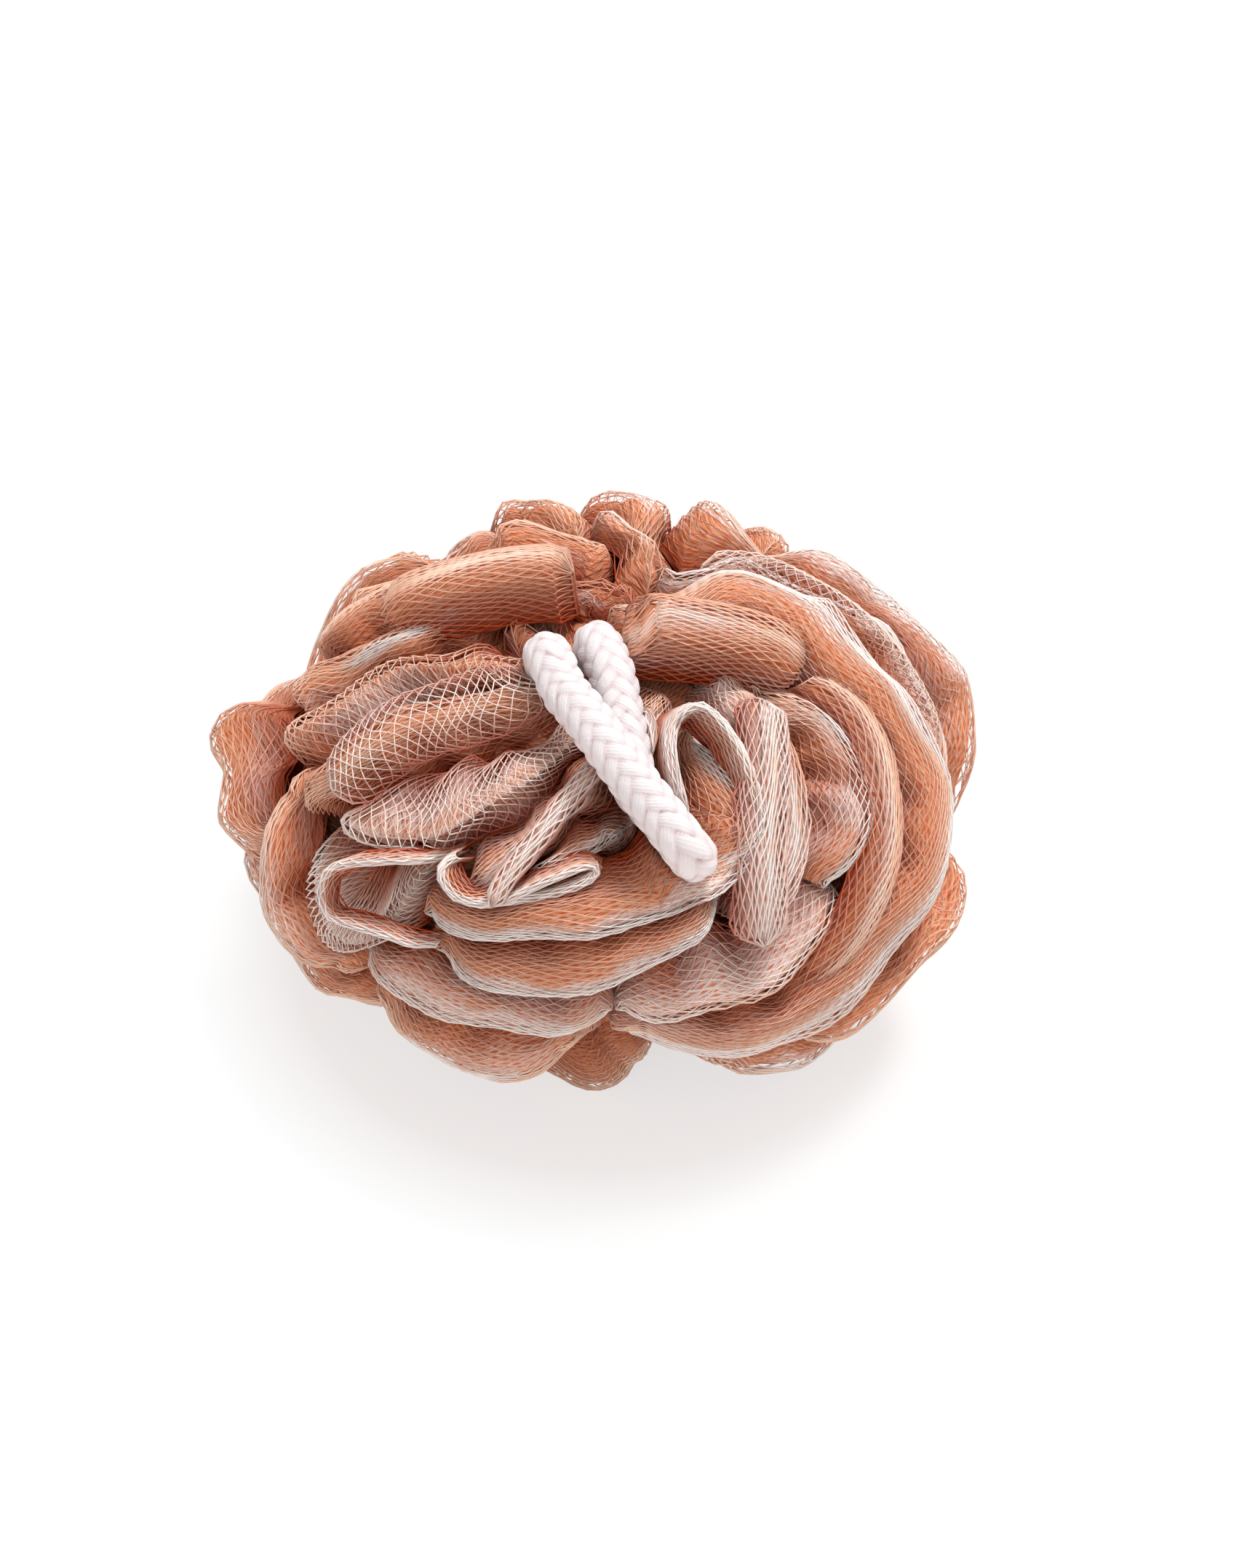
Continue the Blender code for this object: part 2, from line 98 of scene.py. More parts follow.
# Each loop: side weights to the left and right of its crest, and its crest as (azimuth, elevation) in degrees
# seen from the waist. A heavier side spreads further.
LOOPS = {
    "loop_front_rim": (
        1.5, 0.5, [(-119, 13.5), (-106, 15.5), (-92, 18), (-78, 20.5), (-66, 24), (-57, 31), (-59, 45)],
    ),
    "loop_front_lower": (1.5, 0.5, [(-116, 7), (-103, 7.5), (-91, 10), (-79, 13), (-67, 18)]),
    "loop_front_bottom": (1.4, 0.6, [(-131, 1), (-121, -0.5), (-108, -1), (-97, -2), (-89, -1)]),
    "loop_front_under": (1, 1, [(-128, -10), (-117, -15), (-106, -16), (-96, -13)]),
    "loop_left_cone": (1, 1, [(-146, 9), (-138, 3), (-128, 7), (-125, 16)]),
    "loop_left_leaf_low": (1.4, 0.6, [(-142, 18), (-129, 24), (-116, 30), (-106, 39), (-100, 49)]),
    "loop_left_leaf_high": (1, 1, [(-154, 15), (-147, 29), (-138, 43), (-124, 56)]),
    "loop_left_open": (0.6, 1.4, [(-169, 19), (-169, 34), (-160, 50), (-138, 62)]),
    "loop_left_roll": (1, 1, [(177, 21), (-179, 38), (179, 50), (172, 63)]),
    "loop_back_left": (1, 1, [(167, 24), (160, 42), (149, 57), (127, 68)]),
    "loop_hairpin_left": (1, 1, [(-112, 20), (-104, 27), (-97, 34), (-91, 41)]),
    "loop_hairpin_right": (1, 1, [(-102, 23), (-95, 26), (-88, 29)]),
    "loop_beside_cord": (1, 1, [(-75, 46), (-66, 58)]),
    "loop_upright": (1, 1, [(-37, 51), (-45, 37), (-52, 25), (-59, 12)]),
    "loop_inner_right": (0.6, 1.4, [(-30, 47), (-26, 33), (-31, 22), (-43, 12)]),
    "loop_great_ring": (
        1.2, 0.8,
        [
            (12, 77), (10, 63), (4, 50), (-5, 38), (-13, 25), (-22, 12), (-34, 2), (-50, -5), (-66, -9),
            (-82, -9),
        ],
    ),
    "loop_front_right": (1.4, 0.6, [(-85, -1), (-70, 1), (-58, 2), (-45, 6)]),
    "loop_back_right": (0.6, 1.4, [(50, 62), (33, 50), (18, 39), (6, 28), (-4, 16), (-14, 3)]),
    "loop_right_point": (0.6, 1.4, [(43, 42), (27, 30), (14, 18), (6, 6), (0, -7)]),
    "loop_right_low": (1, 1, [(-8, -12), (-22, -9), (-38, -11), (-53, -17)]),
    "loop_right_under": (1, 1, [(-24, -25), (-42, -27), (-62, -25)]),
    "loop_left_outer": (1, 1, [(174, 10), (-171, 4), (-159, 3)]),
    "loop_left_outer_low": (1, 1, [(-158, 13), (-151, 1), (-139, -5)]),
    "loop_left_under": (1, 1, [(-178, -11), (-159, -14), (-140, -19)]),
    "loop_back_top_left": (1, 1, [(128, 51), (112, 58), (96, 61)]),
    "loop_back_top_right": (1, 1, [(90, 50), (76, 56), (62, 64)]),
    "loop_back_high_4": (1, 1, [(150, 24), (140, 31), (128, 37)]),
    "loop_back_high_3": (1, 1, [(114, 26), (105, 36), (101, 48)]),
    "loop_back_high_2": (1, 1, [(87, 28), (80, 36), (73, 47)]),
    "loop_back_high_1": (1, 1, [(64, 38), (53, 40), (40, 38)]),
    "loop_pit_back": (1, 1, [(122, 76), (88, 73), (58, 76)]),
    "loop_pit_left": (1, 1, [(158, 74), (172, 69), (-170, 67)]),
    "loop_rest": (1, 1, [(180, -74), (180, -90), (0, -74)]),
}
# The loops behind and below stand in rings. Each row holds the elevation, the first azimuth, the step, the
# count, half a crest's length and its slant, all but the count in degrees.
LOOP_RINGS = {
    "loop_back_middle": (7, 36, 27, 5, 15, -58),
    "loop_back_low": (-17, 13, 28, 6, 17, 50),
    "loop_under_ring": (-52, 10, 60, 6, 20, 30),
}
# How far in mm each crest rises over the pouf's round form; the others lie on it.
RISES = {
    "loop_front_rim": 3.0,
    "loop_front_lower": 3.0,
    "loop_front_bottom": 2.0,
    "loop_left_cone": 1.0,
    "loop_left_leaf_low": 1.5,
    "loop_left_open": -1.0,
    "loop_left_roll": -3.0,
    "loop_back_left": -2.0,
    "loop_beside_cord": -2.0,
    "loop_upright": 2.0,
    "loop_great_ring": 3.0,
    "loop_right_point": 3.0,
    "loop_right_low": 3.0,
    "loop_right_under": 2.0,
    "loop_left_outer": 2.5,
    "loop_left_outer_low": 1.0,
    "loop_left_under": -1.0,
    "loop_back_top_right": 1.0,
    "loop_back_high_4": -6.0,
    "loop_back_high_2": 1.0,
    "loop_back_high_1": 2.0,
    "loop_pit_back": -6.0,
    "loop_pit_left": -7.0,
    "loop_rest": 5.0,
    "loop_back_middle": -1.5,
    "loop_under_ring": 4.0,
}
# How a loop's net lies: the half widths of its flat top in mm and how late its walls fall, left and right;
# cells along or across the crest, their length and width in mm; how white it is; and its white bands, each
# from and to a share of its length, and from and to a distance in mm left of the crest.
NETS = {
    "loop_front_rim": (4.2, 0.5, 1.5, 0.7, "along", 3.6, 1.0, 0.15, [(0.0, 1.0, -3.6, 1.8)]),
    "loop_front_lower": (4.6, 0.5, 1.5, 0.7, "along", 3.6, 1.0, 0.12, [(0.0, 1.0, -3.6, 2.0)]),
    "loop_front_bottom": (4.2, 1.0, 1.3, 0.8, "along", 3.6, 1.2, 0.45, [(0.1, 0.9, -2.0, 3.0)]),
    "loop_front_under": (2.6, 1.6, 1.2, 1.0, "along", 3.6, 1.2, 0.25, [(0.2, 0.8, -1.0, 1.5)]),
    "loop_left_cone": (1.2, 1.2, 1.0, 1.0, "across", 3.3, 1.2, 0.50, [(0.0, 1.0, -2.5, 2.5)]),
    "loop_left_leaf_low": (
        1.8, 0.7, 1.2, 0.8, "across", 3.5, 1.9, 0.55, [(0.0, 0.9, -1.5, 1.5), (0.1, 0.7, 3.0, 12.0)],
    ),
    "loop_left_leaf_high": (3.0, 1.4, 1.1, 1.0, "along", 3.6, 1.0, 0.05, []),
    "loop_left_open": (1.2, 2.0, 0.9, 1.2, "across", 3.6, 1.9, 0.30, [(0.15, 0.65, -14.0, -3.0)]),
    "loop_left_roll": (2.0, 2.2, 1.0, 1.2, "along", 3.6, 1.0, 0.20, [(0.3, 0.9, -1.5, 1.5)]),
    "loop_back_left": (2.4, 2.4, 1.0, 1.2, "along", 3.6, 1.0, 0.10, []),
    "loop_hairpin_left": (1.6, 0.6, 0.8, 0.8, "along", 3.4, 0.9, 0.40, [(0.0, 1.0, -1.5, 1.8)]),
    "loop_hairpin_right": (1.8, 0.6, 0.8, 0.8, "along", 3.4, 0.9, 0.35, [(0.0, 1.0, -1.5, 2.0)]),
    "loop_beside_cord": (1.2, 1.2, 1.0, 1.0, "along", 3.4, 1.0, 0.30, [(0.0, 0.6, -4.0, 2.0)]),
    "loop_upright": (3.0, 3.0, 0.7, 0.7, "along", 3.6, 1.0, 0.50, [(0.4, 1.0, -2.5, 1.0)]),
    "loop_inner_right": (
        0.6, 3.0, 0.7, 1.2, "along", 3.6, 1.3, 0.40, [(0.2, 1.0, -2.2, 1.2), (0.5, 0.8, -7.0, 0.0)],
    ),
    "loop_great_ring": (2.6, 5.2, 1.1, 0.8, "along", 3.7, 1.1, 0.28, [(0.05, 1.0, -1.2, 3.8)]),
    "loop_front_right": (2.0, 1.0, 1.2, 0.8, "along", 3.6, 1.7, 0.55, [(0.2, 0.9, 0.0, 9.0)]),
    "loop_back_right": (1.0, 2.0, 0.8, 1.1, "along", 3.6, 1.3, 0.45, [(0.0, 0.6, -3.0, 1.0)]),
    "loop_right_point": (1.0, 2.0, 0.8, 1.1, "along", 3.6, 1.4, 0.35, [(0.1, 0.7, -4.0, 1.0)]),
}
# The other loops are plain. Each draws how white it is, and half of them draw one white band.
PLAIN = (1.6, 1.6, 1.5, 1.5, "along", 3.6, 1.3)
PLAIN_WHITENESS = (0.08, 0.30)
PLAIN_BAND_FROM, PLAIN_BAND_WIDTH = (-4, 1), 2.4

# Narrow bands of doubled net that stand over the loops: half the flat width and the depth of the sides in mm,
# the share of the length in which each end rounds off, how white the band is and its rim is, the loop that
# the band belongs to, and its route in mm on the waist's centre.
BANDS = {
    "band_strap": (
        1.3, 2.2, 0.06, 0.80, 0.9, "loop_hairpin_left",
        [
            (0.3, -30.9, 31.0), (-2.5, -35.1, 30.2), (-6.5, -40.2, 28.5), (-10.6, -44.7, 25.4),
            (-13.7, -47.6, 21.8), (-15.5, -48.8, 18.9),
        ],
    ),
    "band_hairpin": (
        0.5, 4.6, 0.0, 0.35, 1.0, "loop_hairpin_right",
        [
            (-15.1, -47.8, 18.2), (-10.2, -47.6, 21.0), (-5.3, -46.6, 23.3), (-1.8, -45.7, 24.5),
            (-0.1, -45.4, 24.4), (0.6, -45.8, 23.7), (-0.3, -46.6, 22.9), (-2.5, -47.0, 21.8),
            (-6.7, -47.4, 20.4), (-11.7, -47.3, 18.9), (-16.8, -46.8, 17.5), (-20.4, -45.6, 17.8),
            (-22.4, -44.2, 19.7), (-22.6, -42.4, 21.2), (-20.5, -40.4, 21.3),
        ],
    ),
    "band_cone": (
        0.5, 3.0, 0.0, 0.4, 1.0, "loop_left_cone",
        [
            (-20.5, -36.5, 18.6), (-24.0, -39.6, 20.0), (-27.5, -40.7, 20.5), (-32.5, -39.5, 19.3),
            (-37.4, -37.7, 17.3), (-40.0, -37.6, 15.3), (-41.1, -38.8, 11.6), (-39.7, -40.8, 9.1),
            (-35.3, -43.7, 9.7), (-30.6, -45.5, 9.6), (-27.2, -46.0, 8.6), (-23.6, -44.6, 7.2),
        ],
    ),
    "band_ring": (
        0.6, 6.5, 0.0, 0.4, 0.9, "loop_beside_cord",
        [
            (17.5, -44.3, 21.1), (20.7, -42.7, 23.2), (23.1, -40.9, 24.8), (24.4, -38.9, 26.2),
            (24.0, -35.8, 28.4), (22.4, -32.1, 31.2), (19.9, -27.8, 33.9), (17.3, -24.8, 35.7),
            (14.7, -23.5, 36.2), (12.3, -25.0, 35.7), (11.3, -27.9, 34.0), (11.6, -31.6, 31.0),
            (12.6, -34.6, 27.4), (13.4, -36.6, 23.4),
        ],
    ),
    "band_tuck": (
        0.5, 4.0, 0.0, 0.3, 0.9, "loop_beside_cord",
        [(6.5, -22.4, 35.1), (7.9, -23.7, 35.2), (8.5, -26.4, 34.1), (8.2, -30.0, 31.6)],
    ),
    "band_open_sheet": (
        5.2, 2.5, 0.12, 0.75, 0.9, "loop_left_open",
        [
            (-9.2, -15.2, 34.9), (-13.9, -19.5, 35.8), (-19.2, -21.2, 34.9), (-25.7, -22.3, 33.0),
            (-31.6, -23.5, 30.4), (-36.5, -25.4, 26.6), (-40.0, -26.1, 21.4),
        ],
    ),
    "band_upright": (
        3.8, 2.4, 0.08, 0.75, 0.8, "loop_upright",
        [
            (25.9, -18.8, 33.3), (26.1, -22.8, 33.0), (26.1, -28.3, 31.5), (25.8, -33.5, 29.1),
            (25.4, -39.1, 25.7), (25.2, -43.7, 21.3), (25.1, -47.1, 16.4), (25.2, -48.6, 10.7),
        ],
    ),
    "band_pocket": (
        4.6, 7.5, 0.12, 0.3, 0.5, "loop_great_ring",
        [
            (32.8, -7.4, 30.9), (27.2, -8.1, 35.8), (20.6, -8.2, 38.7), (14.1, -8.6, 40.4),
            (9.2, -8.9, 41.1), (5.0, -8.8, 40.8), (2.7, -8.2, 40.0),
        ],
    ),
    "band_inner_ring": (
        3.6, 3.0, 0.0, 0.32, 0.5, "loop_great_ring",
        [
            (33.9, -8.8, 29.3), (39.1, -12.9, 27.0), (42.7, -18.0, 23.6), (44.3, -23.5, 19.7),
            (44.6, -29.0, 15.3), (43.2, -34.8, 10.3), (39.9, -39.6, 4.4), (35.0, -42.6, -1.4),
            (29.8, -41.9, -9.0),
        ],
    ),
    "band_back_left": (
        4.4, 7.5, 0.1, 0.12, 0.3, "loop_back_left",
        [
            (-33.6, 6.7, 29.7), (-30.6, 5.7, 34.1), (-24.4, 5.3, 37.3), (-17.7, 5.3, 39.3),
            (-11.1, 5.6, 40.5), (-6.5, 6.0, 40.4), (-4.0, 5.2, 39.7),
        ],
    ),
    "band_open_right": (
        1.6, 3.4, 0.1, 0.6, 1.0, "loop_back_right",
        [
            (17.2, 13.2, 34.5), (24.5, 13.8, 33.7), (32.3, 11.0, 32.0), (40.1, 6.9, 28.9),
            (46.2, 1.8, 25.1), (50.5, -4.0, 20.6), (53.3, -8.6, 15.0),
        ],
    ),
}

# The cord's route on the waist's centre: across and along in mm, and height as a share of HEIGHT_OVER.
LEG_LEFT = [(-7.6, 0, 0.308), (-7.2, -0.6, 0.459), (-7.2, -4.6, 0.6)]
LEG_RIGHT = [(7.6, 0, 0.308), (5.0, -0.4, 0.459), (1.9, -2.6, 0.608)]
HINGE_LEFT = (-7.5, -11.2, 0.919)
HINGE_RIGHT = (-0.1, -8.2, 0.919)
LOOP_UPPER = [
    (-7.3, -13.6, 1.0), (-6.4, -17.6, 1.041), (-4.6, -22.6, 1.019), (-1.8, -27.8, 1.03), (1.9, -33.9, 0.997),
    (6.1, -39.0, 0.919), (9.4, -42.2, 0.846),
]
LOOP_TIP = [
    (11.4, -44.3, 0.805), (13.2, -45.4, 0.746), (14.2, -44.4, 0.673), (13.8, -41.8, 0.63),
    (12.2, -39.3, 0.641),
]
LOOP_LOWER = [
    (10.2, -37.1, 0.684), (6.1, -33.9, 0.77), (5.0, -30.9, 0.808), (4.4, -27.6, 0.843), (3.2, -21.0, 0.911),
    (2.3, -16.6, 0.965), (0.9, -12.4, 0.986), (0.3, -10.0, 0.968),
]
BRAID_STRANDS = 6  # each way round the cord
BRAID_STEP = 3.1 * MM  # along the cord, from one strand to the next
BRAID_LEAST, BRAID_RISE = 0.74, 0.30  # shares of the cord's radius: in a groove, and up to a ply's crest

# The cord's room in the net: the lying part sinks in, and the legs stand clear.
LYING_ROOM = 0.53 * CORD_DIAMETER
LEG_ROOM = CORD_DIAMETER / 2 + 0.5 * MM
SINK = 1.08  # the hollow's depth as a share of that room
SLOPE = 1.4  # of the hollow's sides
SLOPE_REACH = 3.5 * MM
# Net lower than FLOOR_NEAR is pressed flat, and none lies lower than FLOOR_GAP.
FLOOR_NEAR, FLOOR_GAP = 1.4 * MM, 0.25 * MM

# Lamps: turn in degrees, strength and how many degrees wide
LAMPS = {"key": ((-16, 18, 0), 2.6, 18), "fill": ((45, -25, 20), 0.4, 60)}
WORLD_STRENGTH = 0.66

# Camera: degrees above level, distance and what it looks at
CAMERA_TILT, CAMERA_AWAY, CAMERA_TARGET = 43, 0.6, (4.6, -2.0, 37.0)
CAMERA_SENSOR, CAMERA_LENS = 36, 87.66
# From the floor's middle out, where its shadow fades to plain white, in metres
FLOOR_FADE = (0.050, 0.067)

# Colours
ORANGE_STRANDS = ((1.0, 0.58, 0.38), (1.0, 0.81, 0.66))
# The strands' deep orange at the loops' roots and in the pit: painted shade.
ORANGE_PAINTED_SHADE = (0.56, 0.08, 0.016)
WHITE_STRANDS = (1.0, 0.94, 0.91)
# The bunched net between its strands: its orange, darkened as painted shade of the layers deeper in, and
# paler where it is white.
GAPS_WITH_PAINTED_SHADE = ((0.54, 0.085, 0.02), (0.82, 0.23, 0.075))
GAPS_PALE = (0.97, 0.60, 0.46)
WARM_STRIPES = ((1.0, 0.40, 0.19), (1.0, 0.70, 0.49))
WHITE_FOLDS = (1.0, 0.93, 0.88)
# The bunched net's colour at the loops' roots and in the pit: painted shade.
FOLDS_PAINTED_SHADE = (0.22, 0.02, 0.003)
# The gathered waist's orange, painted darker than the net and darkest in its creases' hollows: painted shade.
GATHERS_WITH_CREASE_SHADE = ((0.34, 0.09, 0.03), (0.66, 0.26, 0.12))
# The cord's white cotton, painted darker and pinker in the grooves between its plies: painted shade.
COTTON_WITH_GROOVE_SHADE = ((0.58, 0.41, 0.42), (0.75, 0.70, 0.71))
# White twisted fibre, painted darker and pinker between the fibres: painted shade.
TWISTED_COTTON_WITH_CREVICE_SHADE = ((0.93, 0.9, 0.9), (0.78, 0.7, 0.7))
FLOOR_COLOUR, SKY_COLOUR, PURE_WHITE = (0.93, 0.87, 0.84), (1, 0.97, 0.95), (1, 1, 1)


def unit(v):
    return v / np.linalg.norm(v, axis=-1, keepdims=True)


def directions(angles):
    """Unit vectors from azimuths and elevations in degrees."""
    a, e = np.radians(np.array(angles, float)).T
    return np.stack([np.cos(e) * np.cos(a), np.cos(e) * np.sin(a), np.sin(e)], 1)


def smooth_line(points, per_span):
    """A Catmull-Rom curve through the points."""
    p = np.array(points, float)
    p = np.vstack([2 * p[0] - p[1], p, 2 * p[-1] - p[-2]])
    t = np.linspace(0, 1, per_span, endpoint=False)[:, None]
    spans = []
    for a, b, c, d in zip(p, p[1:], p[2:], p[3:]):
        spans.append(
            0.5 * (2 * b + (c - a) * t + (2 * a - 5 * b + 4 * c - d) * t**2 + (3 * b - a - 3 * c + d) * t**3)
        )
    return np.vstack([*spans, p[-2:-1]])


def lengths_along(line):
    return np.concatenate([[0], np.cumsum(np.linalg.norm(np.diff(line, axis=0), axis=1))])


def at_share(line, shares):
    """Points at these shares of a line that is evenly spaced."""
    at = np.linspace(0, 1, len(line))
    return np.stack([np.interp(shares, at, line[:, k]) for k in range(line.shape[1])], 1)


def evenly(line, count):
    """count points at equal distances along a line."""
    run = lengths_along(line)
    at = np.linspace(0, run[-1], count)
    return np.stack([np.interp(at, run, line[:, k]) for k in range(line.shape[1])], 1)


def smoothed(line, passes):
    """The line with its small corners evened out, its ends kept."""
    for _ in range(passes):
        line = np.vstack([line[:1], (line[:-2] + 2 * line[1:-1] + line[2:]) / 4, line[-1:]])
    return line


def running_mean(values, count):
    """The mean of each value and those beside it, count in all, with the end values repeated."""
    return np.convolve(np.pad(values, count // 2, "edge"), np.ones(count) / count, "valid")


def on_waist(points):
    """Points of the cord's route in metres, seen from the waist's centre."""
    return np.array(points) * (MM, MM, HEIGHT_OVER)


def cord_line(step):
    """The cord from under the waist up its left leg, round the lying loop and back down its right leg."""
    ring = [(math.cos(math.radians(a)), 0, math.sin(math.radians(a))) for a in range(-108, -211, -17)]
    down = np.array(ring) * CORD_LINE_RADIUS
    back = down[::-1] * (-1, 1, 1)
    route = [*LEG_LEFT, HINGE_LEFT, *LOOP_UPPER, *LOOP_TIP, *LOOP_LOWER, HINGE_RIGHT, *reversed(LEG_RIGHT)]
    line = smooth_line(np.vstack([down, on_waist(route), back]), 16)
    line = evenly(line, round(lengths_along(line)[-1] / step))
    return CENTRE + smoothed(line, round(6 * (0.5 * MM / step) ** 2))


def finished(name, bm, material):
    """The piece that a bmesh holds."""
    mesh = bpy.data.meshes.new(name)
    bm.to_mesh(mesh)
    bm.free()
    mesh.materials.append(material)
    obj = bpy.data.objects.new(name, mesh)
    bpy.context.scene.collection.objects.link(obj)
    return obj


def place_verts(bm, points, **layers):
    """Moves each vertex to its point, and keeps a value for it in each of these layers."""
    keys = [bm.verts.layers.float.new(name) for name in layers]
    for vert, point, *values in zip(bm.verts, points, *layers.values()):
        vert.co = point
        for key, value in zip(keys, values):
            vert[key] = value


def smooth_faces(bm, uv, place):
    """Smooths every face, and moves its corners in the UV map to place(x, y)."""
    for face in bm.faces:
        face.smooth = True
        for corner in face.loops:
            corner[uv].uv = place(*corner[uv].uv)


# ---- Cord ----


def tube_frames(line):
    """Two directions across a line at each of its points, without twist."""
    ahead = unit(np.gradient(line, axis=0))
    side = unit(np.cross(ahead[0], [0.0, 1.0, 0.0]))
    sides = []
    for along in ahead:
        side = unit(side - along * (side @ along))
        sides.append(side)
    sides = np.array(sides)
    return sides, np.cross(ahead, sides)


def braid_height(around, along):
    """The braid's height from 0 to 1, and which way the upper strand turns. along is in braid steps.

    Each strand passes over two and under two, in step round the cord, so the plies stand in rows of Vs."""
    p = BRAID_STRANDS * around + along
    q = BRAID_STRANDS * around - along
    heights = []
    for across, run, turn in ((p, q, 1), (q, p, -1)):
        middle = np.floor(across)
        ply = np.sqrt(np.clip(1 - np.abs(2 * (across - middle) - 1) ** 3, 0, 1))
        over = turn * np.sin(math.pi / 2 * (run + middle))
        heights.append(0.45 * ply + 0.55 * (0.5 + 0.5 * over))
    return np.maximum(*heights), (heights[0] > heights[1]).astype(float)


def braided_tube(line, around):
    """A closed tube along the line, its skin raised into the plies of a braid."""
    bm = bmesh.new()
    uv = bm.loops.layers.uv.new("UVMap")
    bmesh.ops.create_grid(bm, x_segments=len(line) - 1, y_segments=around, size=0.5, calc_uvs=True)
    flat = np.array([v.co for v in bm.verts])[:, :2] + 0.5
    index = np.clip(np.round(flat[:, 0] * (len(line) - 1)), 0, len(line) - 1).astype(int)
    turn = flat[:, 1]
    run = lengths_along(line)
    sides, ups = tube_frames(line)
    steps = run / BRAID_STEP + 0.1 * np.sin(run / (11 * MM)) + 0.07 * np.sin(run / (4.7 * MM) + 1)
    height, over = braid_height(turn, steps[index])
    radius = CORD_DIAMETER / 2 * (BRAID_LEAST + BRAID_RISE * height)
    angle = math.tau * turn
    out = sides[index] * np.cos(angle)[:, None] + ups[index] * np.sin(angle)[:, None]
    place_verts(bm, line[index] + out * radius[:, None], groove=height, ply=over)
    smooth_faces(bm, uv, lambda x, y: (np.interp(x * run[-1], run, steps), y * BRAID_STRANDS))
    bmesh.ops.remove_doubles(bm, verts=bm.verts[:], dist=1e-6)
    rims = [e for e in bm.edges if e.is_boundary]
    bmesh.ops.holes_fill(bm, edges=rims, sides=0)
    bmesh.ops.recalc_face_normals(bm, faces=bm.faces[:])
    return bm


def make_cord(material):
    """The white cord, braided from flat plies that pass over and under each other."""
    obj = finished("hanging_cord", braided_tube(cord_line(0.3 * MM), 60), material)
    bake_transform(obj)
    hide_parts("cord_loop", "cord_root")


# ---- Net ----


def round_radius(rays):
    """The pouf's round form, as in the CAD model."""
    level = np.hypot(rays[:, 0] / HALF_WIDTH, rays[:, 1] / HALF_DEPTH)
    tall = np.where(rays[:, 2] > 0, HEIGHT_OVER, CENTRE[2])
    power = np.where(rays[:, 2] > 0, 2.0, FOOT_FULLNESS)
    return (level**power + np.abs(rays[:, 2] / tall) ** power) ** (-1 / power)


def swell_at(t, power):
    return np.sqrt(np.clip(1 - np.abs(2 * t - 1) ** power, 0, 1))


class Waves:
    """A smooth field of random bends, the same for every layer of net."""

    def __init__(self, seed, size, wavelength, count=7):
        random = np.random.default_rng(seed)
        self.size = size / math.sqrt(count)
        ways = unit(random.normal(size=(count, 3)))
        self.k = ways * math.tau / (wavelength * random.uniform(0.7, 1.4, (count, 1)))
        self.push = unit(random.normal(size=(count, 3)))
        self.phase = random.uniform(0, math.tau, count)

    def at(self, points):
        return self.size * np.sin(points @ self.k.T + self.phase) @ self.push


BENDS = Waves(4, 1.6 * MM, 30 * MM)
CREASES = Waves(9, 0.3 * MM, 12 * MM, 9)
CRUMPLE = Waves(21, 2.0 * MM, 15 * MM, 9)


def crumpled(points, creased):
    """The points with the net's bends and creases. It is crumpled less at the front."""
    share = 0.35 + 0.65 * np.clip((points[:, 1:2] + 25 * MM) / (20 * MM), 0, 1)
    points = points + share * CRUMPLE.at(points)
    return points + BENDS.at(points) + creased * CREASES.at(points)


LYING = smooth_line(on_waist([HINGE_LEFT, *LOOP_UPPER, *LOOP_TIP, *LOOP_LOWER, HINGE_RIGHT]), 6)
LYING = CENTRE + evenly(LYING, 90)
LEGS = [[*LEG_LEFT, HINGE_LEFT], [*LEG_RIGHT, HINGE_RIGHT]]
LEGS = CENTRE + np.vstack([evenly(smooth_line(on_waist(leg), 6), 24) for leg in LEGS])


def clear_of_cord(points):
    """Presses the net down under the cord, and keeps it off the cord's legs and over the floor."""
    rays = points - CENTRE
    r = np.linalg.norm(rays, axis=1)
    rays = rays / r[:, None]
    lying = LYING - CENTRE
    along = rays @ lying.T
    off = np.sqrt(np.maximum((lying**2).sum(1)[None] - along**2, 0))
    hollow = SINK * LYING_ROOM * np.sqrt(np.clip(1 - (off / LYING_ROOM) ** 2, 0, 1))
    deep = along - hollow + SLOPE * np.maximum(off - LYING_ROOM, 0)
    press = np.where((off < LYING_ROOM + SLOPE_REACH) & (along > 0), deep, FAR_OFF).min(axis=1)
    points = CENTRE + rays * np.minimum(r, press)[:, None]
    apart = points[:, None] - LEGS[None]
    far = np.linalg.norm(apart, axis=2)
    nearest = far.argmin(axis=1)
    row = np.arange(len(points))
    close = far[row, nearest] < LEG_ROOM
    away = unit(apart[row, nearest] + 1e-9)
    points = np.where(close[:, None], LEGS[nearest] + away * LEG_ROOM, points)
    pressed = 0.4 * MM + 0.35 * np.maximum(points[:, 2] + 1 * MM, 0)
    points[:, 2] = np.where(points[:, 2] < FLOOR_NEAR, np.maximum(pressed, FLOOR_GAP), points[:, 2])
    return points


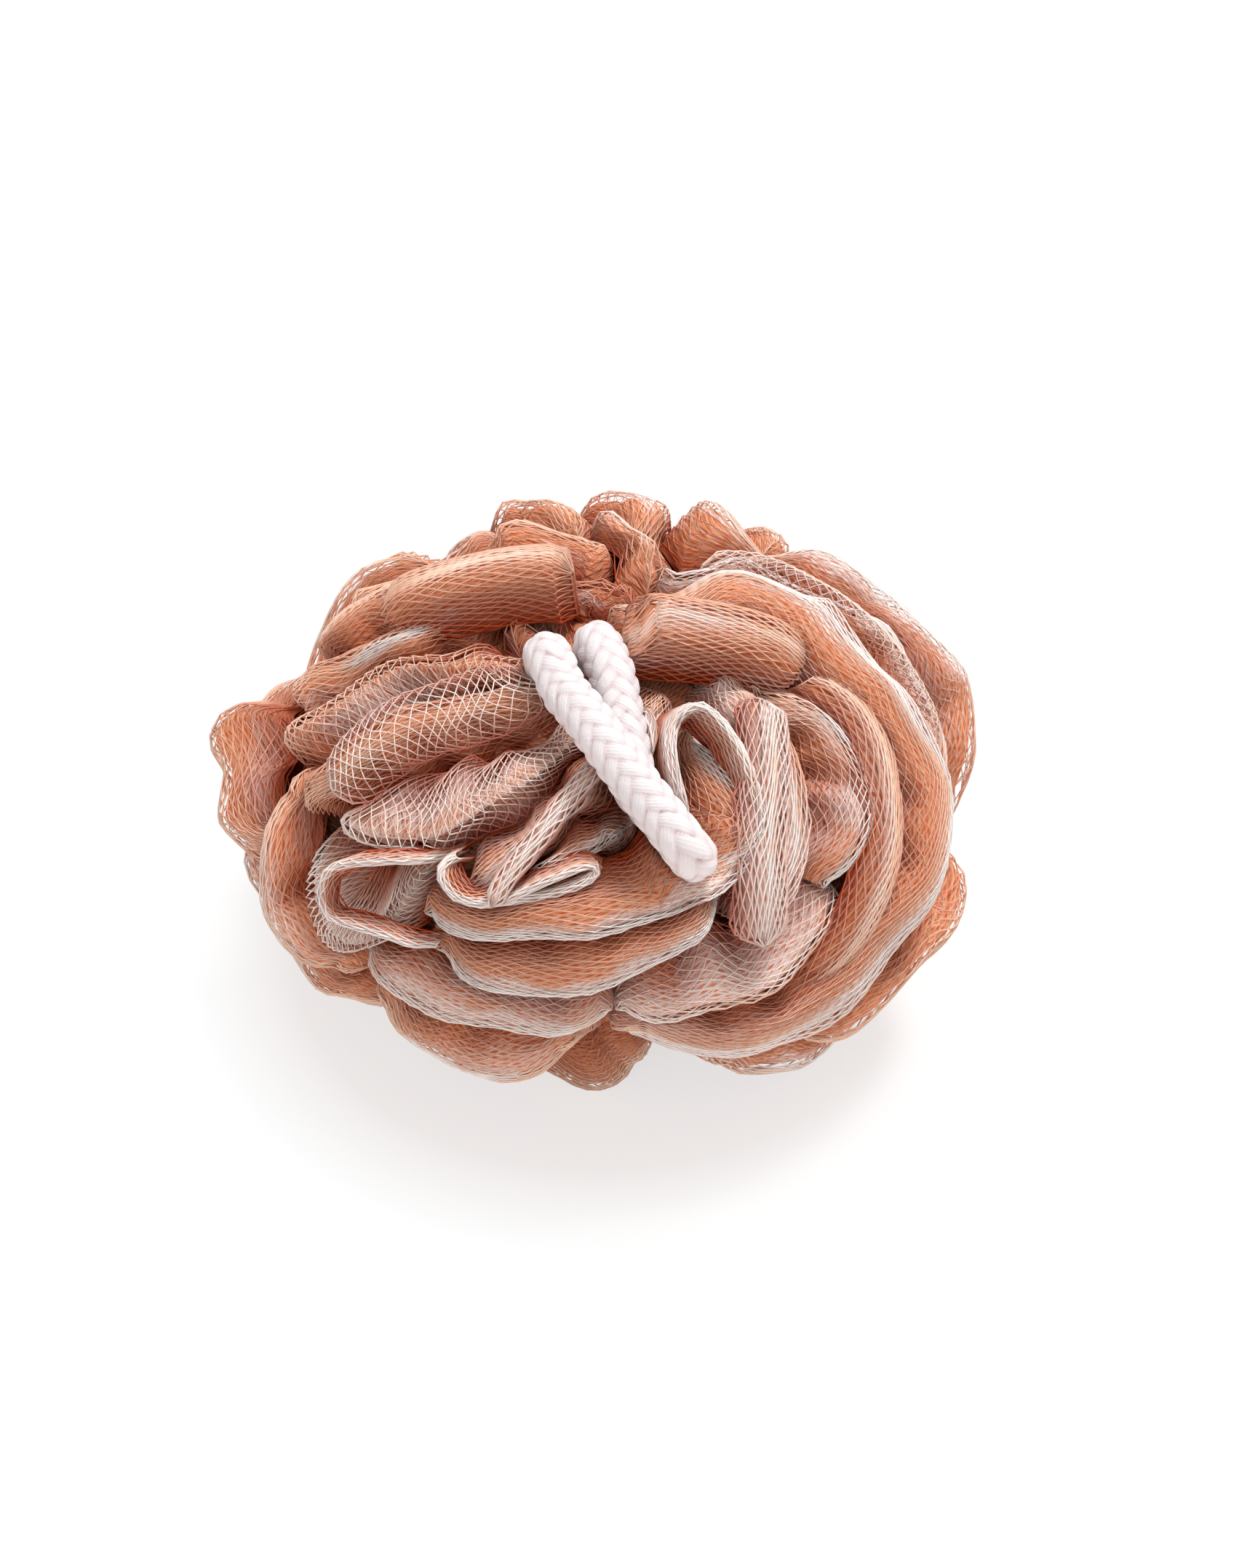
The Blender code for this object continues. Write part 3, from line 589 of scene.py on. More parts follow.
class Loop:
    """A loop of net: its crest, and how far its sides and its rounded ends spread."""

    def __init__(self, name, left, right, rise, angles, seed):
        self.name = name
        self.seed = seed
        self.weights = (left, right)
        self.rise = rise * MM
        self.dirs = unit(evenly(unit(smooth_line(directions(angles), SPAN_STEPS)), STATIONS))
        self.ahead = unit(np.gradient(self.dirs, axis=0))
        self.lefts = unit(np.cross(self.dirs, self.ahead))
        random = np.random.default_rng(seed)
        row = NETS.get(name, PLAIN)
        left_top, right_top, *self.curves, self.lay, length, width = row[: len(PLAIN)]
        self.tops = (left_top * MM, right_top * MM)
        self.cell = (length * MM, width * MM) if self.lay == "along" else (width * MM, length * MM)
        self.ripple = random.uniform(0, math.tau, 4)
        turn = np.linalg.norm(np.diff(self.dirs, axis=0), axis=1).sum()
        self.pleats = max(2, round(math.degrees(turn) / random.uniform(9, 12)))
        self.pleated = (0.25 if left_top > 4 else 0.7) * MM  # less where the top is broad
        # The pit's loops are painted darker: painted shade.
        self.shade = 0.45 if "pit" in name else 0.0
        if name in NETS:
            self.white, self.bands = row[len(PLAIN) :]
        else:
            self.white = random.uniform(*PLAIN_WHITENESS)
            near = random.uniform(*PLAIN_BAND_FROM)
            self.bands = [(0.1, 0.8, near, near + PLAIN_BAND_WIDTH)] if random.random() < 0.5 else []

    def reach(self, at, ways, others):
        """The angle from crest point at, in each of these ways, to where a neighbour's net begins."""
        marks, lefts, pulls = others
        apart = marks[None] - self.dirs[at][:, None]
        toward = np.einsum("ijk,ik->ij", apart, ways)
        own = np.where(np.einsum("ik,ik->i", ways, self.lefts[at]) > 0, *self.weights)
        theirs = np.where(np.einsum("ijk,jk->ij", -apart, lefts) > 0, pulls[None, :, 0], pulls[None, :, 1])
        share = own[:, None] / (own[:, None] + theirs)
        angle = share * (apart**2).sum(2) / np.maximum(toward, 1e-6)
        return np.minimum(np.where(toward > 0, angle, FAR_OFF).min(axis=1), math.radians(SIDE_WIDEST))

    def measure(self, loops):
        """Finds how far each side and end may spread, and the net's length and width over them."""
        rest = [o for o in loops if o is not self]
        pulls = np.vstack([np.tile(o.weights, (STATIONS, 1)) for o in rest])
        others = (np.vstack([o.dirs for o in rest]), np.vstack([o.lefts for o in rest]), pulls)
        every = np.arange(STATIONS)
        self.limits = [running_mean(self.reach(every, self.lefts * side, others), 7) for side in (1, -1)]
        turns = np.radians(END_TURNS)
        self.end_limits = []
        for at, way in ((0, -1), (STATIONS - 1, 1)):
            ways = way * self.ahead[at] * np.cos(turns)[:, None] + self.lefts[at] * np.sin(turns)[:, None]
            best = self.reach(np.full(len(turns), at), ways, others)
            best[0], best[-1] = self.limits[1][at], self.limits[0][at]
            best[1:-1] = running_mean(best, 5)[1:-1]
            self.end_limits.append(best)
        t = np.linspace(0, 1, CREST_STEPS)
        rays = unit(at_share(self.dirs, t))
        radius = self.crest_radius(rays, t)
        self.t_run = lengths_along(CENTRE + rays * radius[:, None])
        middle = len(END_TURNS) // 2
        self.caps = [END_LENGTH * limit[middle] * radius[at] for limit, at in zip(self.end_limits, (0, -1))]
        self.length = self.t_run[-1] + sum(self.caps)
        self.s_run = [self.section_run(side) for side in (0, 1)]
        self.widths = [run[-1] for run in self.s_run]

    def crest_radius(self, rays, t):
        """The crest's distance from the waist's centre, with its rise, its ruffles and its lower ends."""
        fall = END_FALL * np.abs(2 * t - 1) ** 6
        a, b = self.ripple[:2]
        ruffle = RUFFLE * np.sin(1.6 * t * self.pleats + a) + FINE_RUFFLE * np.sin(3.1 * t * self.pleats + b)
        return round_radius(rays) + self.rise * swell_at(t, 3) - fall + ruffle

    def top_share(self, limit, side, radius):
        """The flat top's share of the way to the neighbours."""
        return np.minimum(np.where(side > 0, *self.tops) / radius / limit, TOP_MOST)

    def fall(self, share, limit, side, radius):
        """How far the net has fallen from its crest at a share of the way to its neighbours."""
        top = self.top_share(limit, side, radius)
        flat = np.clip(share / top, 0, 1)
        wall = np.clip((share - top) / (1 - top), 0, 1)
        late = np.where(side > 0, *self.curves)
        deep = DROP_LEAST + DROP_SHARE * limit * radius
        lip = TOP_FALL * limit * radius * top * (1 - np.sqrt(1 - 0.96 * flat**2))
        return lip + deep * wall**late

    def across(self, s, limit, side, radius):
        """The share of the way to the neighbours, at share s down a side: the top first, then the wall."""
        top = self.top_share(limit, side, radius)
        flat = np.clip(s / TOP_STEPS, 0, 1)
        wall = np.clip((s - TOP_STEPS) / (1 - TOP_STEPS), 0, 1)
        return top * np.sin(flat * math.pi / 2) ** 0.8 + (1 - top) * wall**1.3

    def section_run(self, side):
        """The length of net from the crest down one side, at even shares, half-way along the loop."""
        s = np.linspace(0, 1, SECTION_STEPS)
        middle = STATIONS // 2
        limit = np.full(SECTION_STEPS, self.limits[side][middle])
        radius = self.crest_radius(self.dirs[middle : middle + 1], np.array([0.5]))
        left = np.full(SECTION_STEPS, 1 - 2 * side)
        share = self.across(s, limit, left, radius)
        r = radius - self.fall(share, limit, left, radius)
        return lengths_along(np.stack([r * np.sin(limit * share), r * np.cos(limit * share)], 1))

    def lengthwise(self, u):
        """For shares u of the net's length: the crest's share, an end's share, and if it is the first end."""
        run = u * self.length - self.caps[0]
        first, last = run < 0, run > self.t_run[-1]
        end = np.where(first, -run / self.caps[0], np.where(last, (run - self.t_run[-1]) / self.caps[1], 0))
        return np.interp(run, self.t_run, np.linspace(0, 1, CREST_STEPS)), end, first

    def section_share(self, v, side):
        """The share s of a section's steps for each share v of its length."""
        steps = np.linspace(0, 1, SECTION_STEPS)
        left, right = (np.interp(np.abs(v) * w, run, steps) for w, run in zip(self.widths, self.s_run))
        return np.where(side > 0, left, right)

    def side_limit(self, t, side):
        """How far a side spreads at shares t of the crest."""
        left, right = (np.interp(t, np.linspace(0, 1, STATIONS), limit) for limit in self.limits)
        return np.where(side > 0, left, right)

    def end_limit(self, first, turn):
        """How far a rounded end spreads, turned by these degrees from straight on to the left."""
        back, front = (np.interp(turn, END_TURNS, limit) for limit in self.end_limits)
        return np.where(first, back, front)

    def pleat(self, u, s, side, size):
        """How far the walls' pleats push the net along the pouf, as an angle."""
        lean = math.tau * self.pleats * u + self.ripple[2] + 0.6 * np.sin(math.tau * u * 1.7 + self.ripple[3])
        return size * np.sin(lean + 0.8 * side) * np.clip(s * 1.6 - 0.25, 0, 1)

    def skin(self, u, v, inset, creased=1.0):
        """Points of the net at shares u of its length and v of its section's, left side positive."""
        t, end, first = self.lengthwise(u)
        rays, lefts, ahead = (unit(at_share(lines, t)) for lines in (self.dirs, self.lefts, self.ahead))
        ahead = np.where(first[:, None], -ahead, ahead)
        side = np.where(v >= 0, 1.0, -1.0)
        s = self.section_share(v, side)
        radius = self.crest_radius(rays, t) - inset

        # Angles from the crest to the net: x straight on, past the crest's end, and y to the left
        turn = side * 90 * (1 - end)
        limit = np.where(end > 0, self.end_limit(first, turn), self.side_limit(t, side))
        share = self.across(s, limit, side, radius)
        start = END_START * end * self.end_limit(first, 0 * turn)
        x = start + (limit * np.cos(np.radians(turn)) * (end > 0) - start) * share
        y = limit * np.sin(np.radians(turn)) * share
        bound = np.where(end > 0, self.end_limit(first, np.degrees(np.arctan2(y, x))), limit)
        depth = self.fall(np.clip(np.hypot(x, y) / bound, 0, 1), bound, side, radius)
        r = np.maximum(radius - depth, LEAST_RADIUS)
        drawn_in = np.minimum(0.6 * inset / r * np.sin(math.pi * s) ** 0.5, np.abs(y))
        y = y - side * drawn_in + self.pleat(u, s, side, self.pleated * creased / r) * (1 - end)

        out = np.maximum(np.hypot(x, y), 1e-9)
        away = (ahead * (x / out)[:, None] + lefts * (y / out)[:, None]) * np.sin(out)[:, None]
        points = CENTRE + r[:, None] * (rays * np.cos(out)[:, None] + away)
        return clear_of_cord(crumpled(points, creased))

    def whiteness(self, u, v):
        """How white the net is, from 0, orange, to 1."""
        across = np.where(v >= 0, v * self.widths[0], v * self.widths[1]) / MM
        wander = 0.5 * np.sin(u * 15 + self.ripple[0]) + 0.4 * np.sin(u * 37 + across + self.ripple[2])
        a, b = self.ripple[1], self.ripple[3]
        blot = np.sin(u * 6.1 + v * 4.0 + a) + np.sin(u * 3.1 - v * 7.0 + b)
        white = self.white + 0.12 * blot
        for u0, u1, near, far in self.bands:
            runs_out = (u0 <= 0) * (u < 0.5) + (u1 >= 1) * (u > 0.5)
            along = np.clip(np.minimum(u - u0, u1 - u) / 0.12 + runs_out, 0, 1)
            over = np.clip(np.minimum(across + wander - near, far - across - wander) / 1.6 + 0.3, 0, 1)
            white = np.maximum(white, along * over)
        return np.clip(white, 0, 1)


class Band:
    """A narrow band of doubled net that stands on edge or lies flat over the loops."""

    def __init__(self, name, half, depth, rounded, white, rim, points, seed):
        self.name = name
        self.seed = seed
        self.half, self.depth = half * MM, depth * MM
        self.rounded = rounded
        self.white, self.rim = white, rim
        self.see_through = "open" in name
        self.lay = "across" if self.see_through else "along"
        self.cell = OPEN_CELL if self.see_through else BAND_CELL
        # A band gets no extra painted shade.
        self.shade = 0.0
        line = evenly(smooth_line(np.array(points) * MM, SPAN_STEPS), BAND_STATIONS)
        self.line = smoothed(line, 4)
        self.ahead = unit(np.gradient(self.line, axis=0))
        self.length = lengths_along(self.line)[-1]
        self.widths = [self.half + self.depth] * 2
        self.ripple = np.random.default_rng(seed).uniform(0, math.tau, 4)

    def skin(self, u, v, inset, creased=1.0):
        """Points of the band at shares u of its length and v of its section's, left side positive."""
        inset = min(inset, 0.3 * self.half)
        places, ahead = at_share(self.line, u), unit(at_share(self.ahead, u))
        out = unit(places)
        side = unit(np.cross(ahead, out))
        run = np.abs(v) * self.widths[0]
        nearest_end = np.maximum(u, 1 - u)
        close = np.clip((nearest_end - 1 + self.rounded) / self.rounded, 0, 1) if self.rounded else 0 * u
        closed = close**3
        flat = np.minimum(run, self.half) * (1 - 0.97 * closed) ** 0.6
        wall = np.maximum(run - self.half, 0)
        far = u * self.length
        start = np.clip(1 - far / BAND_START, 0, 1)
        lip = BAND_RIM_FALL * self.half * (flat / self.half) ** 4
        lip = lip + BAND_END_FALL * self.depth * closed + BAND_START_FALL * start**2
        a, b, c, _ = self.ripple
        sway = 0.25 * MM * np.sin(far / (2.4 * MM) + a) + 0.2 * MM * np.sin(far / MM + b)
        sway = sway * np.clip(wall / self.depth, 0, 1) + 0.15 * MM * np.sin(far / (3.1 * MM) + c)
        wide = flat + BAND_LEAN * wall * (1 - closed) - inset * (run > 0.5 * self.half)
        across = np.sign(v) * wide + sway
        points = CENTRE + places + side * across[:, None] - out * (lip + wall + inset)[:, None]
        return clear_of_cord(points)

    def whiteness(self, u, v):
        """How white the net is, from 0, orange, to 1."""
        wall = (np.abs(v) * self.widths[0] - self.half) / MM
        stripe = 0.16 * np.sin(v * 9 + self.ripple[0]) + 0.1 * np.sin(u * 7 + v * 3 + self.ripple[1])
        rim = np.clip(1 - wall / 0.9, 0, 1) if self.half < MM else np.clip(1 - np.abs(wall) / 0.8, 0, 1)
        return np.clip(self.white + stripe + (self.rim - self.white) * rim, 0, 1)


def core_piece(material):
    """The net crumpled together between the roots of the loops, seen only where they part."""
    bm = bmesh.new()
    uv = bm.loops.layers.uv.new("UVMap")
    bmesh.ops.create_icosphere(bm, subdivisions=6, radius=1, calc_uvs=True)
    rays = np.array([v.co for v in bm.verts])
    folds = 1.3 * MM * np.sin(34 * np.arctan2(rays[:, 1], rays[:, 0]) + 5 * np.sin(6 * rays[:, 2]))
    size = CORE_SHARE * round_radius(rays) + folds * np.sqrt(1 - rays[:, 2] ** 2)
    even = np.ones(len(rays))
    # The core is painted half way to the loops' darkest colour: painted shade.
    place_verts(bm, CENTRE + rays * size[:, None], white=0.2 * even, deep=0.5 * even)
    smooth_faces(bm, uv, lambda x, y: (0.25 * x, 0.25 * y))
    return finished("inner_folds", bm, material)


def all_loops():
    """Every loop of net, each with the room that its neighbours leave it."""
    loops = []
    for name, (left, right, angles) in LOOPS.items():
        loops.append(Loop(name, left, right, RISES.get(name, 0), angles, len(loops) + 1))
    for name, (elevation, first, step, count, half, slant) in LOOP_RINGS.items():
        tilt = math.radians(slant)
        for k in range(count):
            angles = []
            for share in (-1, 0, 1):
                across = half * share * math.cos(tilt) / math.cos(math.radians(elevation))
                angles.append((first + step * k + across, elevation + half * share * math.sin(tilt)))
            loops.append(Loop(f"{name}_{k + 1}", 1, 1, RISES.get(name, 0), angles, len(loops) + 1))
    for loop in loops:
        loop.measure(loops)
    return loops


def side_share(w, widths, drawn=1.0):
    """Turns a share across the whole net into a share down its left side, positive, or its right, negative.

    With drawn over 1 the strands are drawn together at the crest and opened at the root."""
    right = widths[1] / sum(widths)
    share = np.where(w < right, (w - right) / right, (w - right) / (1 - right))
    return np.sign(share) * np.abs(share) ** drawn


def flat_shares(bm):
    """The shares of a flat grid's length and width at each of its vertices."""
    return np.clip(np.array([v.co for v in bm.verts])[:, :2] + 0.5, 0, 1).T


def diamond_net(columns, rows):
    """A flat net of diamond cells."""
    bm = bmesh.new()
    bmesh.ops.create_grid(bm, x_segments=columns, y_segments=rows, size=0.5)
    straight = [e for e in bm.edges if not e.is_boundary]
    bmesh.ops.poke(bm, faces=bm.faces[:])
    bmesh.ops.dissolve_edges(bm, edges=straight, use_verts=False)
    return bm


def wandering(u, w, shift):
    """The shares u and w of a net with its rows of cells bent, but for its rim."""
    free = np.sin(math.pi * u) * np.sin(math.pi * w)
    along = free * 0.03 * np.sin(math.tau * (1.6 * u + 1.1 * w) + shift[0])
    across = free * 0.022 * np.sin(math.tau * (2.3 * w + 0.9 * u) + shift[1])
    return u + along, w + across + free * 0.004 * np.sin(math.tau * (5 * w - 3 * u) + shift[2])


def net_layer(loop, k, inset, opened):
    """A layer of a loop's strands, and their area when they are laid side by side."""
    columns = max(3, round(loop.length / loop.cell[0] / opened))
    rows = max(6, round(sum(loop.widths) / loop.cell[1] / opened))
    bm = diamond_net(columns, rows)
    random = np.random.default_rng(100 * loop.seed + k)
    u, w = wandering(*flat_shares(bm), random.uniform(0, math.tau, 3))
    v = side_share(w, loop.widths, CREST_DRAWN if loop.lay == "along" else 1.0)
    points = loop.skin(u, v, inset) + random.normal(size=(len(u), 3)) * STRAND_JITTER
    # deep, the share down a side plus the loop's shade, darkens the colour: painted shade at the roots.
    place_verts(bm, points, white=loop.whiteness(u, v) * (1 - LAYER_FADE * k), deep=np.abs(v) + loop.shade)
    bm.normal_update()
    drawn_together = loop.name in BANDS and loop.lay == "along"
    strand = STRAND * opened**0.3 * (BAND_STRAND_SHARE if drawn_together else 1)
    area = strand * sum(edge.calc_length() for edge in bm.edges)
    bmesh.ops.wireframe(
        bm, faces=bm.faces[:], thickness=strand, offset=0.0, use_replace=True, use_boundary=True,
        use_even_offset=False, use_relative_offset=False,
    )
    for face in bm.faces:
        face.smooth = True
    return bm, area


def make_net(loop, layers, material):
    """The loop's strands, as layers of net, one inside the other, and the area of them all."""
    joined = bmesh.new()
    whole = 0
    for k, (inset, opened) in enumerate(layers):
        bm, area = net_layer(loop, k, inset, opened)
        whole += area
        layer = bpy.data.meshes.new("layer")
        bm.to_mesh(layer)
        bm.free()
        joined.from_mesh(layer)
        bpy.data.meshes.remove(layer)
    return finished(loop.name + "_net", joined, material), whole


def make_folds(loop, material):
    """The bunched net inside a loop, seen through its strands."""
    columns = max(10, round(loop.length / FOLDS_CELL[0]))
    rows = max(16, round(sum(loop.widths) / FOLDS_CELL[1]))
    bm = bmesh.new()
    uv = bm.loops.layers.uv.new("UVMap")
    bmesh.ops.create_grid(bm, x_segments=columns, y_segments=rows, size=0.5, calc_uvs=True)
    u, w = flat_shares(bm)
    v = side_share(w, loop.widths)
    points = loop.skin(u, v, FOLDS_INSET[loop.lay], creased=2.0)
    # deep, the share down a side plus the loop's shade, darkens the colour: painted shade at the roots.
    place_verts(bm, points, white=loop.whiteness(u, v), deep=np.abs(v) + loop.shade)
    order = 1 if loop.cell[0] > loop.cell[1] else -1
    smooth_faces(bm, uv, lambda x, y: (x * loop.length, y * sum(loop.widths))[::order])
    bm.normal_update()
    return finished(loop.name + "_folds", bm, material)


# ---- Materials ----


class Nodes:
    """Adds nodes to a tree and joins them."""

    def __init__(self, tree):
        self.tree = tree

    def add(self, kind, **settings):
        node = self.tree.nodes.new("ShaderNode" + kind)
        for name, value in settings.items():
            setattr(node, name, value)
        return node

    def math(self, operation, *values):
        node = self.add("Math", operation=operation)
        for socket, value in zip(node.inputs, values):
            self.put(socket, value)
        return node.outputs[0]

    def put(self, socket, value):
        if isinstance(value, bpy.types.NodeSocket):
            self.tree.links.new(value, socket)
        else:
            socket.default_value = value

    def mix(self, share, a, b):
        node = self.add("Mix", data_type="RGBA")
        for socket, value in zip((node.inputs[0], node.inputs[6], node.inputs[7]), (share, a, b)):
            self.put(socket, value)
        return node.outputs[2]

    def between(self, share, colours):
        """The colour at this share of the way between two."""
        return self.mix(share, *(rgb(colour) for colour in colours))

    def noise(self, place, scale, detail=2):
        node = self.add("TexNoise")
        for name, value in (("Vector", place), ("Scale", scale), ("Detail", detail)):
            self.put(node.inputs[name], value)
        return node.outputs["Fac"]

    def mapped(self, place, **settings):
        node = self.add("Mapping")
        for name, value in settings.items():
            node.inputs[name].default_value = value
        self.put(node.inputs["Vector"], place)
        return node.outputs[0]

    def bump(self, shader, height, strength, distance, **settings):
        node = self.add("Bump", **settings)
        for name, value in (("Strength", strength), ("Distance", distance), ("Height", height)):
            self.put(node.inputs[name], value)
        self.put(shader.inputs["Normal"], node.outputs[0])

    def mix_shaders(self, share, a, b, output):
        """A mix of two shaders, as what the tree gives to its surface."""
        node = self.add("MixShader")
        for socket, value in zip(node.inputs, (share, a, b)):
            self.put(socket, value)
        self.put(self.tree.nodes[output].inputs["Surface"], node.outputs[0])

    def seen_by_eye(self):
        """One where a ray comes from the camera, from gloss or through glass."""
        path = self.add("LightPath").outputs
        glossy_or_through = self.math("MAXIMUM", path["Is Glossy Ray"], path["Is Transmission Ray"])
        return self.math("MAXIMUM", path["Is Camera Ray"], glossy_or_through)

    def spread(self, value, low, high, new_low, new_high):
        node = self.add("MapRange")
        for socket, number in zip(node.inputs, (value, low, high, new_low, new_high)):
            self.put(socket, number)
        return node.outputs[0]


def rgb(colour):
    return (*colour, 1)


def new_material(name, roughness):
    material = bpy.data.materials.new(name)
    material.use_nodes = True
    shader = material.node_tree.nodes["Principled BSDF"]
    shader.inputs["Roughness"].default_value = roughness
    return material, Nodes(material.node_tree), shader


def net_pattern_group():
    """A mask of crossing net strands over a surface laid out in metres."""
    group = bpy.data.node_groups.new("net strands", "ShaderNodeTree")
    group.interface.new_socket("Place", in_out="INPUT", socket_type="NodeSocketVector")
    for name, value in (("Cell Length", 3.8), ("Cell Width", 1.2), ("Strand", 0.3), ("Wander", 0.4)):
        socket = group.interface.new_socket(name, in_out="INPUT", socket_type="NodeSocketFloat")
        socket.default_value = value
    group.interface.new_socket("Strands", in_out="OUTPUT", socket_type="NodeSocketFloat")
    n = Nodes(group)
    into = group.nodes.new("NodeGroupInput")
    out = group.nodes.new("NodeGroupOutput")
    noise = n.noise(into.outputs["Place"], 130, 1)
    sway = n.math("MULTIPLY", n.math("SUBTRACT", noise, 0.5), into.outputs["Wander"])
    parts = n.add("SeparateXYZ")
    n.put(parts.inputs[0], into.outputs["Place"])
    x = n.math("DIVIDE", n.math("MULTIPLY", parts.outputs[0], 1000), into.outputs["Cell Length"])
    y = n.math("DIVIDE", n.math("MULTIPLY", parts.outputs[1], 1000), into.outputs["Cell Width"])
    y = n.math("ADD", y, sway)
    masks = []
    for turn in ("ADD", "SUBTRACT"):
        off = n.math("ABSOLUTE", n.math("SUBTRACT", n.math("FRACT", n.math(turn, x, y)), 0.5))
        masks.append(n.spread(off, n.math("SUBTRACT", 0.5, into.outputs["Strand"]), 0.47, 0.0, 1.0))
    n.put(out.inputs["Strands"], n.math("MAXIMUM", *masks))
    return group


def net_material():
    """Fine glossy strands that turn from orange to white, painted deep orange as shade at the loops' roots
    and in the pit.
    """
    material, n, shader = new_material("orange and white net", 0.45)
    white = n.add("Attribute", attribute_name="white").outputs["Fac"]
    deep = n.add("Attribute", attribute_name="deep").outputs["Fac"]
    place = n.add("TexCoord").outputs["Object"]
    orange = n.between(n.noise(place, 90, 3), ORANGE_STRANDS)
    # Towards the roots and in the pit the orange turns deep and the white fades: painted shade.
    shade_share = n.math("POWER", deep, 0.8)
    orange = n.mix(shade_share, orange, rgb(ORANGE_PAINTED_SHADE))
    fine = n.noise(place, 420)
    patchy = n.math("ADD", white, n.math("MULTIPLY", n.math("SUBTRACT", fine, 0.5), 0.5))
    share = n.spread(patchy, 0.28, 0.72, 0.0, 1.0)
    share = n.math("MULTIPLY", share, n.spread(shade_share, 0.0, 1.0, 1.0, 0.15))
    colour = n.mix(share, orange, rgb(WHITE_STRANDS))
    n.put(shader.inputs["Base Color"], colour)
    shader.inputs["Specular IOR Level"].default_value = 0.22
    glow = n.add("BsdfTranslucent")
    n.put(glow.inputs["Color"], colour)
    n.mix_shaders(0.15, shader.outputs[0], glow.outputs[0], "Material Output")
    return material


def folds_material(group):
    """The net bunched behind, many layers deep: strong colour, cells that only just show, and painted shade
    in its darks.
    """
    material, n, shader = new_material("bunched orange net", 0.8)
    white = n.add("Attribute", attribute_name="white").outputs["Fac"]
    place = n.add("UVMap").outputs["UV"]
    masks = []
    for turn, length, width in ((0.0, 3.8, 0.8), (0.1, 3.2, 0.65)):
        net = n.add("Group", node_tree=group)
        n.put(net.inputs["Place"], n.mapped(place, Rotation=(0, 0, turn)))
        cells = {"Cell Length": length, "Cell Width": width, "Strand": 0.27, "Wander": 1.0}
        for name, value in cells.items():
            net.inputs[name].default_value = value
        masks.append(net.outputs[0])
    # Between the strands the net's orange is darkened: painted shade, paler where the net is white.
    shaded_gap = n.between(n.noise(n.add("TexCoord").outputs["Object"], 70), GAPS_WITH_PAINTED_SHADE)
    shaded_gap = n.mix(n.spread(white, 0.3, 0.8, 0.0, 0.3), shaded_gap, rgb(GAPS_PALE))
    # Fine lines along the net, where many layers lie drawn together
    lines = n.noise(n.mapped(place, Scale=(130, 3300, 1)), 1)
    stripe = n.spread(lines, 0.35, 0.65, 0.0, 1.0)
    warm = n.between(stripe, WARM_STRIPES)
    whitish = n.math("ADD", white, n.math("MULTIPLY", n.math("SUBTRACT", stripe, 0.5), 0.25))
    light = n.mix(n.spread(whitish, 0.25, 0.65, 0.0, 1.0), warm, rgb(WHITE_FOLDS))
    colour = n.mix(n.math("MULTIPLY", masks[1], 0.5), shaded_gap, light)
    colour = n.mix(n.math("MULTIPLY", masks[0], 0.85), colour, light)
    # Darker towards the roots and in the pit: painted shade.
    shade_share = n.math("POWER", n.add("Attribute", attribute_name="deep").outputs["Fac"], 0.95)
    colour = n.mix(n.math("MULTIPLY", shade_share, 0.88), colour, rgb(FOLDS_PAINTED_SHADE))
    n.put(shader.inputs["Base Color"], colour)
    shader.inputs["Specular IOR Level"].default_value = 0.1
    n.bump(shader, n.math("MAXIMUM", *masks), 0.5, 0.3 * MM)
    return material


def waist_material():
    """The tight gathers at the tie: the net pulled into fine creases that run through the tie."""
    material, n, shader = new_material("gathered net", 0.55)
    place = n.add("TexCoord").outputs["Object"]
    parts = n.add("SeparateXYZ")
    n.put(parts.inputs[0], n.mapped(place, Location=(0, 0, -CENTRE[2])))
    turn = n.math("ARCTAN2", parts.outputs[2], parts.outputs[0])
    bent = n.math("MULTIPLY", n.noise(place, 160), 7)
    crease = n.math("SINE", n.math("ADD", n.math("MULTIPLY", turn, 46), bent))
    share = n.spread(crease, -1.0, 1.0, 0.0, 1.0)
    # The colour follows the bump, darker in the creases' hollows: painted shade.
    n.put(shader.inputs["Base Color"], n.between(share, GATHERS_WITH_CREASE_SHADE))
    n.bump(shader, share, 0.8, 0.5 * MM)
    return material


def cotton_material():
    """Soft white braided plies of fine yarns, painted darker and pinker in the grooves as shade."""
    material, n, shader = new_material("white braided cotton", 0.8)
    groove = n.add("Attribute", attribute_name="groove").outputs["Fac"]
    over = n.add("Attribute", attribute_name="ply").outputs["Fac"]
    parts = n.add("SeparateXYZ")
    n.put(parts.inputs[0], n.add("UVMap").outputs["UV"])
    yarns = []
    for way in ("ADD", "SUBTRACT"):
        across = n.math(way, parts.outputs[1], parts.outputs[0])
        yarns.append(n.math("SINE", n.math("MULTIPLY", across, math.tau * 5)))
    high = n.math("GREATER_THAN", over, 0.5)
    low = n.math("SUBTRACT", 1, high)
    yarn = n.math("ADD", n.math("MULTIPLY", high, yarns[0]), n.math("MULTIPLY", low, yarns[1]))
    fibres = n.noise(n.add("TexCoord").outputs["Object"], 1500)
    fine = n.math("ADD", n.math("MULTIPLY", yarn, 0.15), fibres)
    # Lower on the braid the colour is darker and pinker: painted shade in the grooves.
    share = n.spread(n.math("ADD", groove, n.math("MULTIPLY", yarn, 0.03)), 0.42, 0.85, 0.0, 1.0)
    n.put(shader.inputs["Base Color"], n.between(share, COTTON_WITH_GROOVE_SHADE))
    shader.inputs["Sheen Weight"].default_value = 0.2
    n.bump(shader, fine, 0.5, 0.2 * MM)
    return material


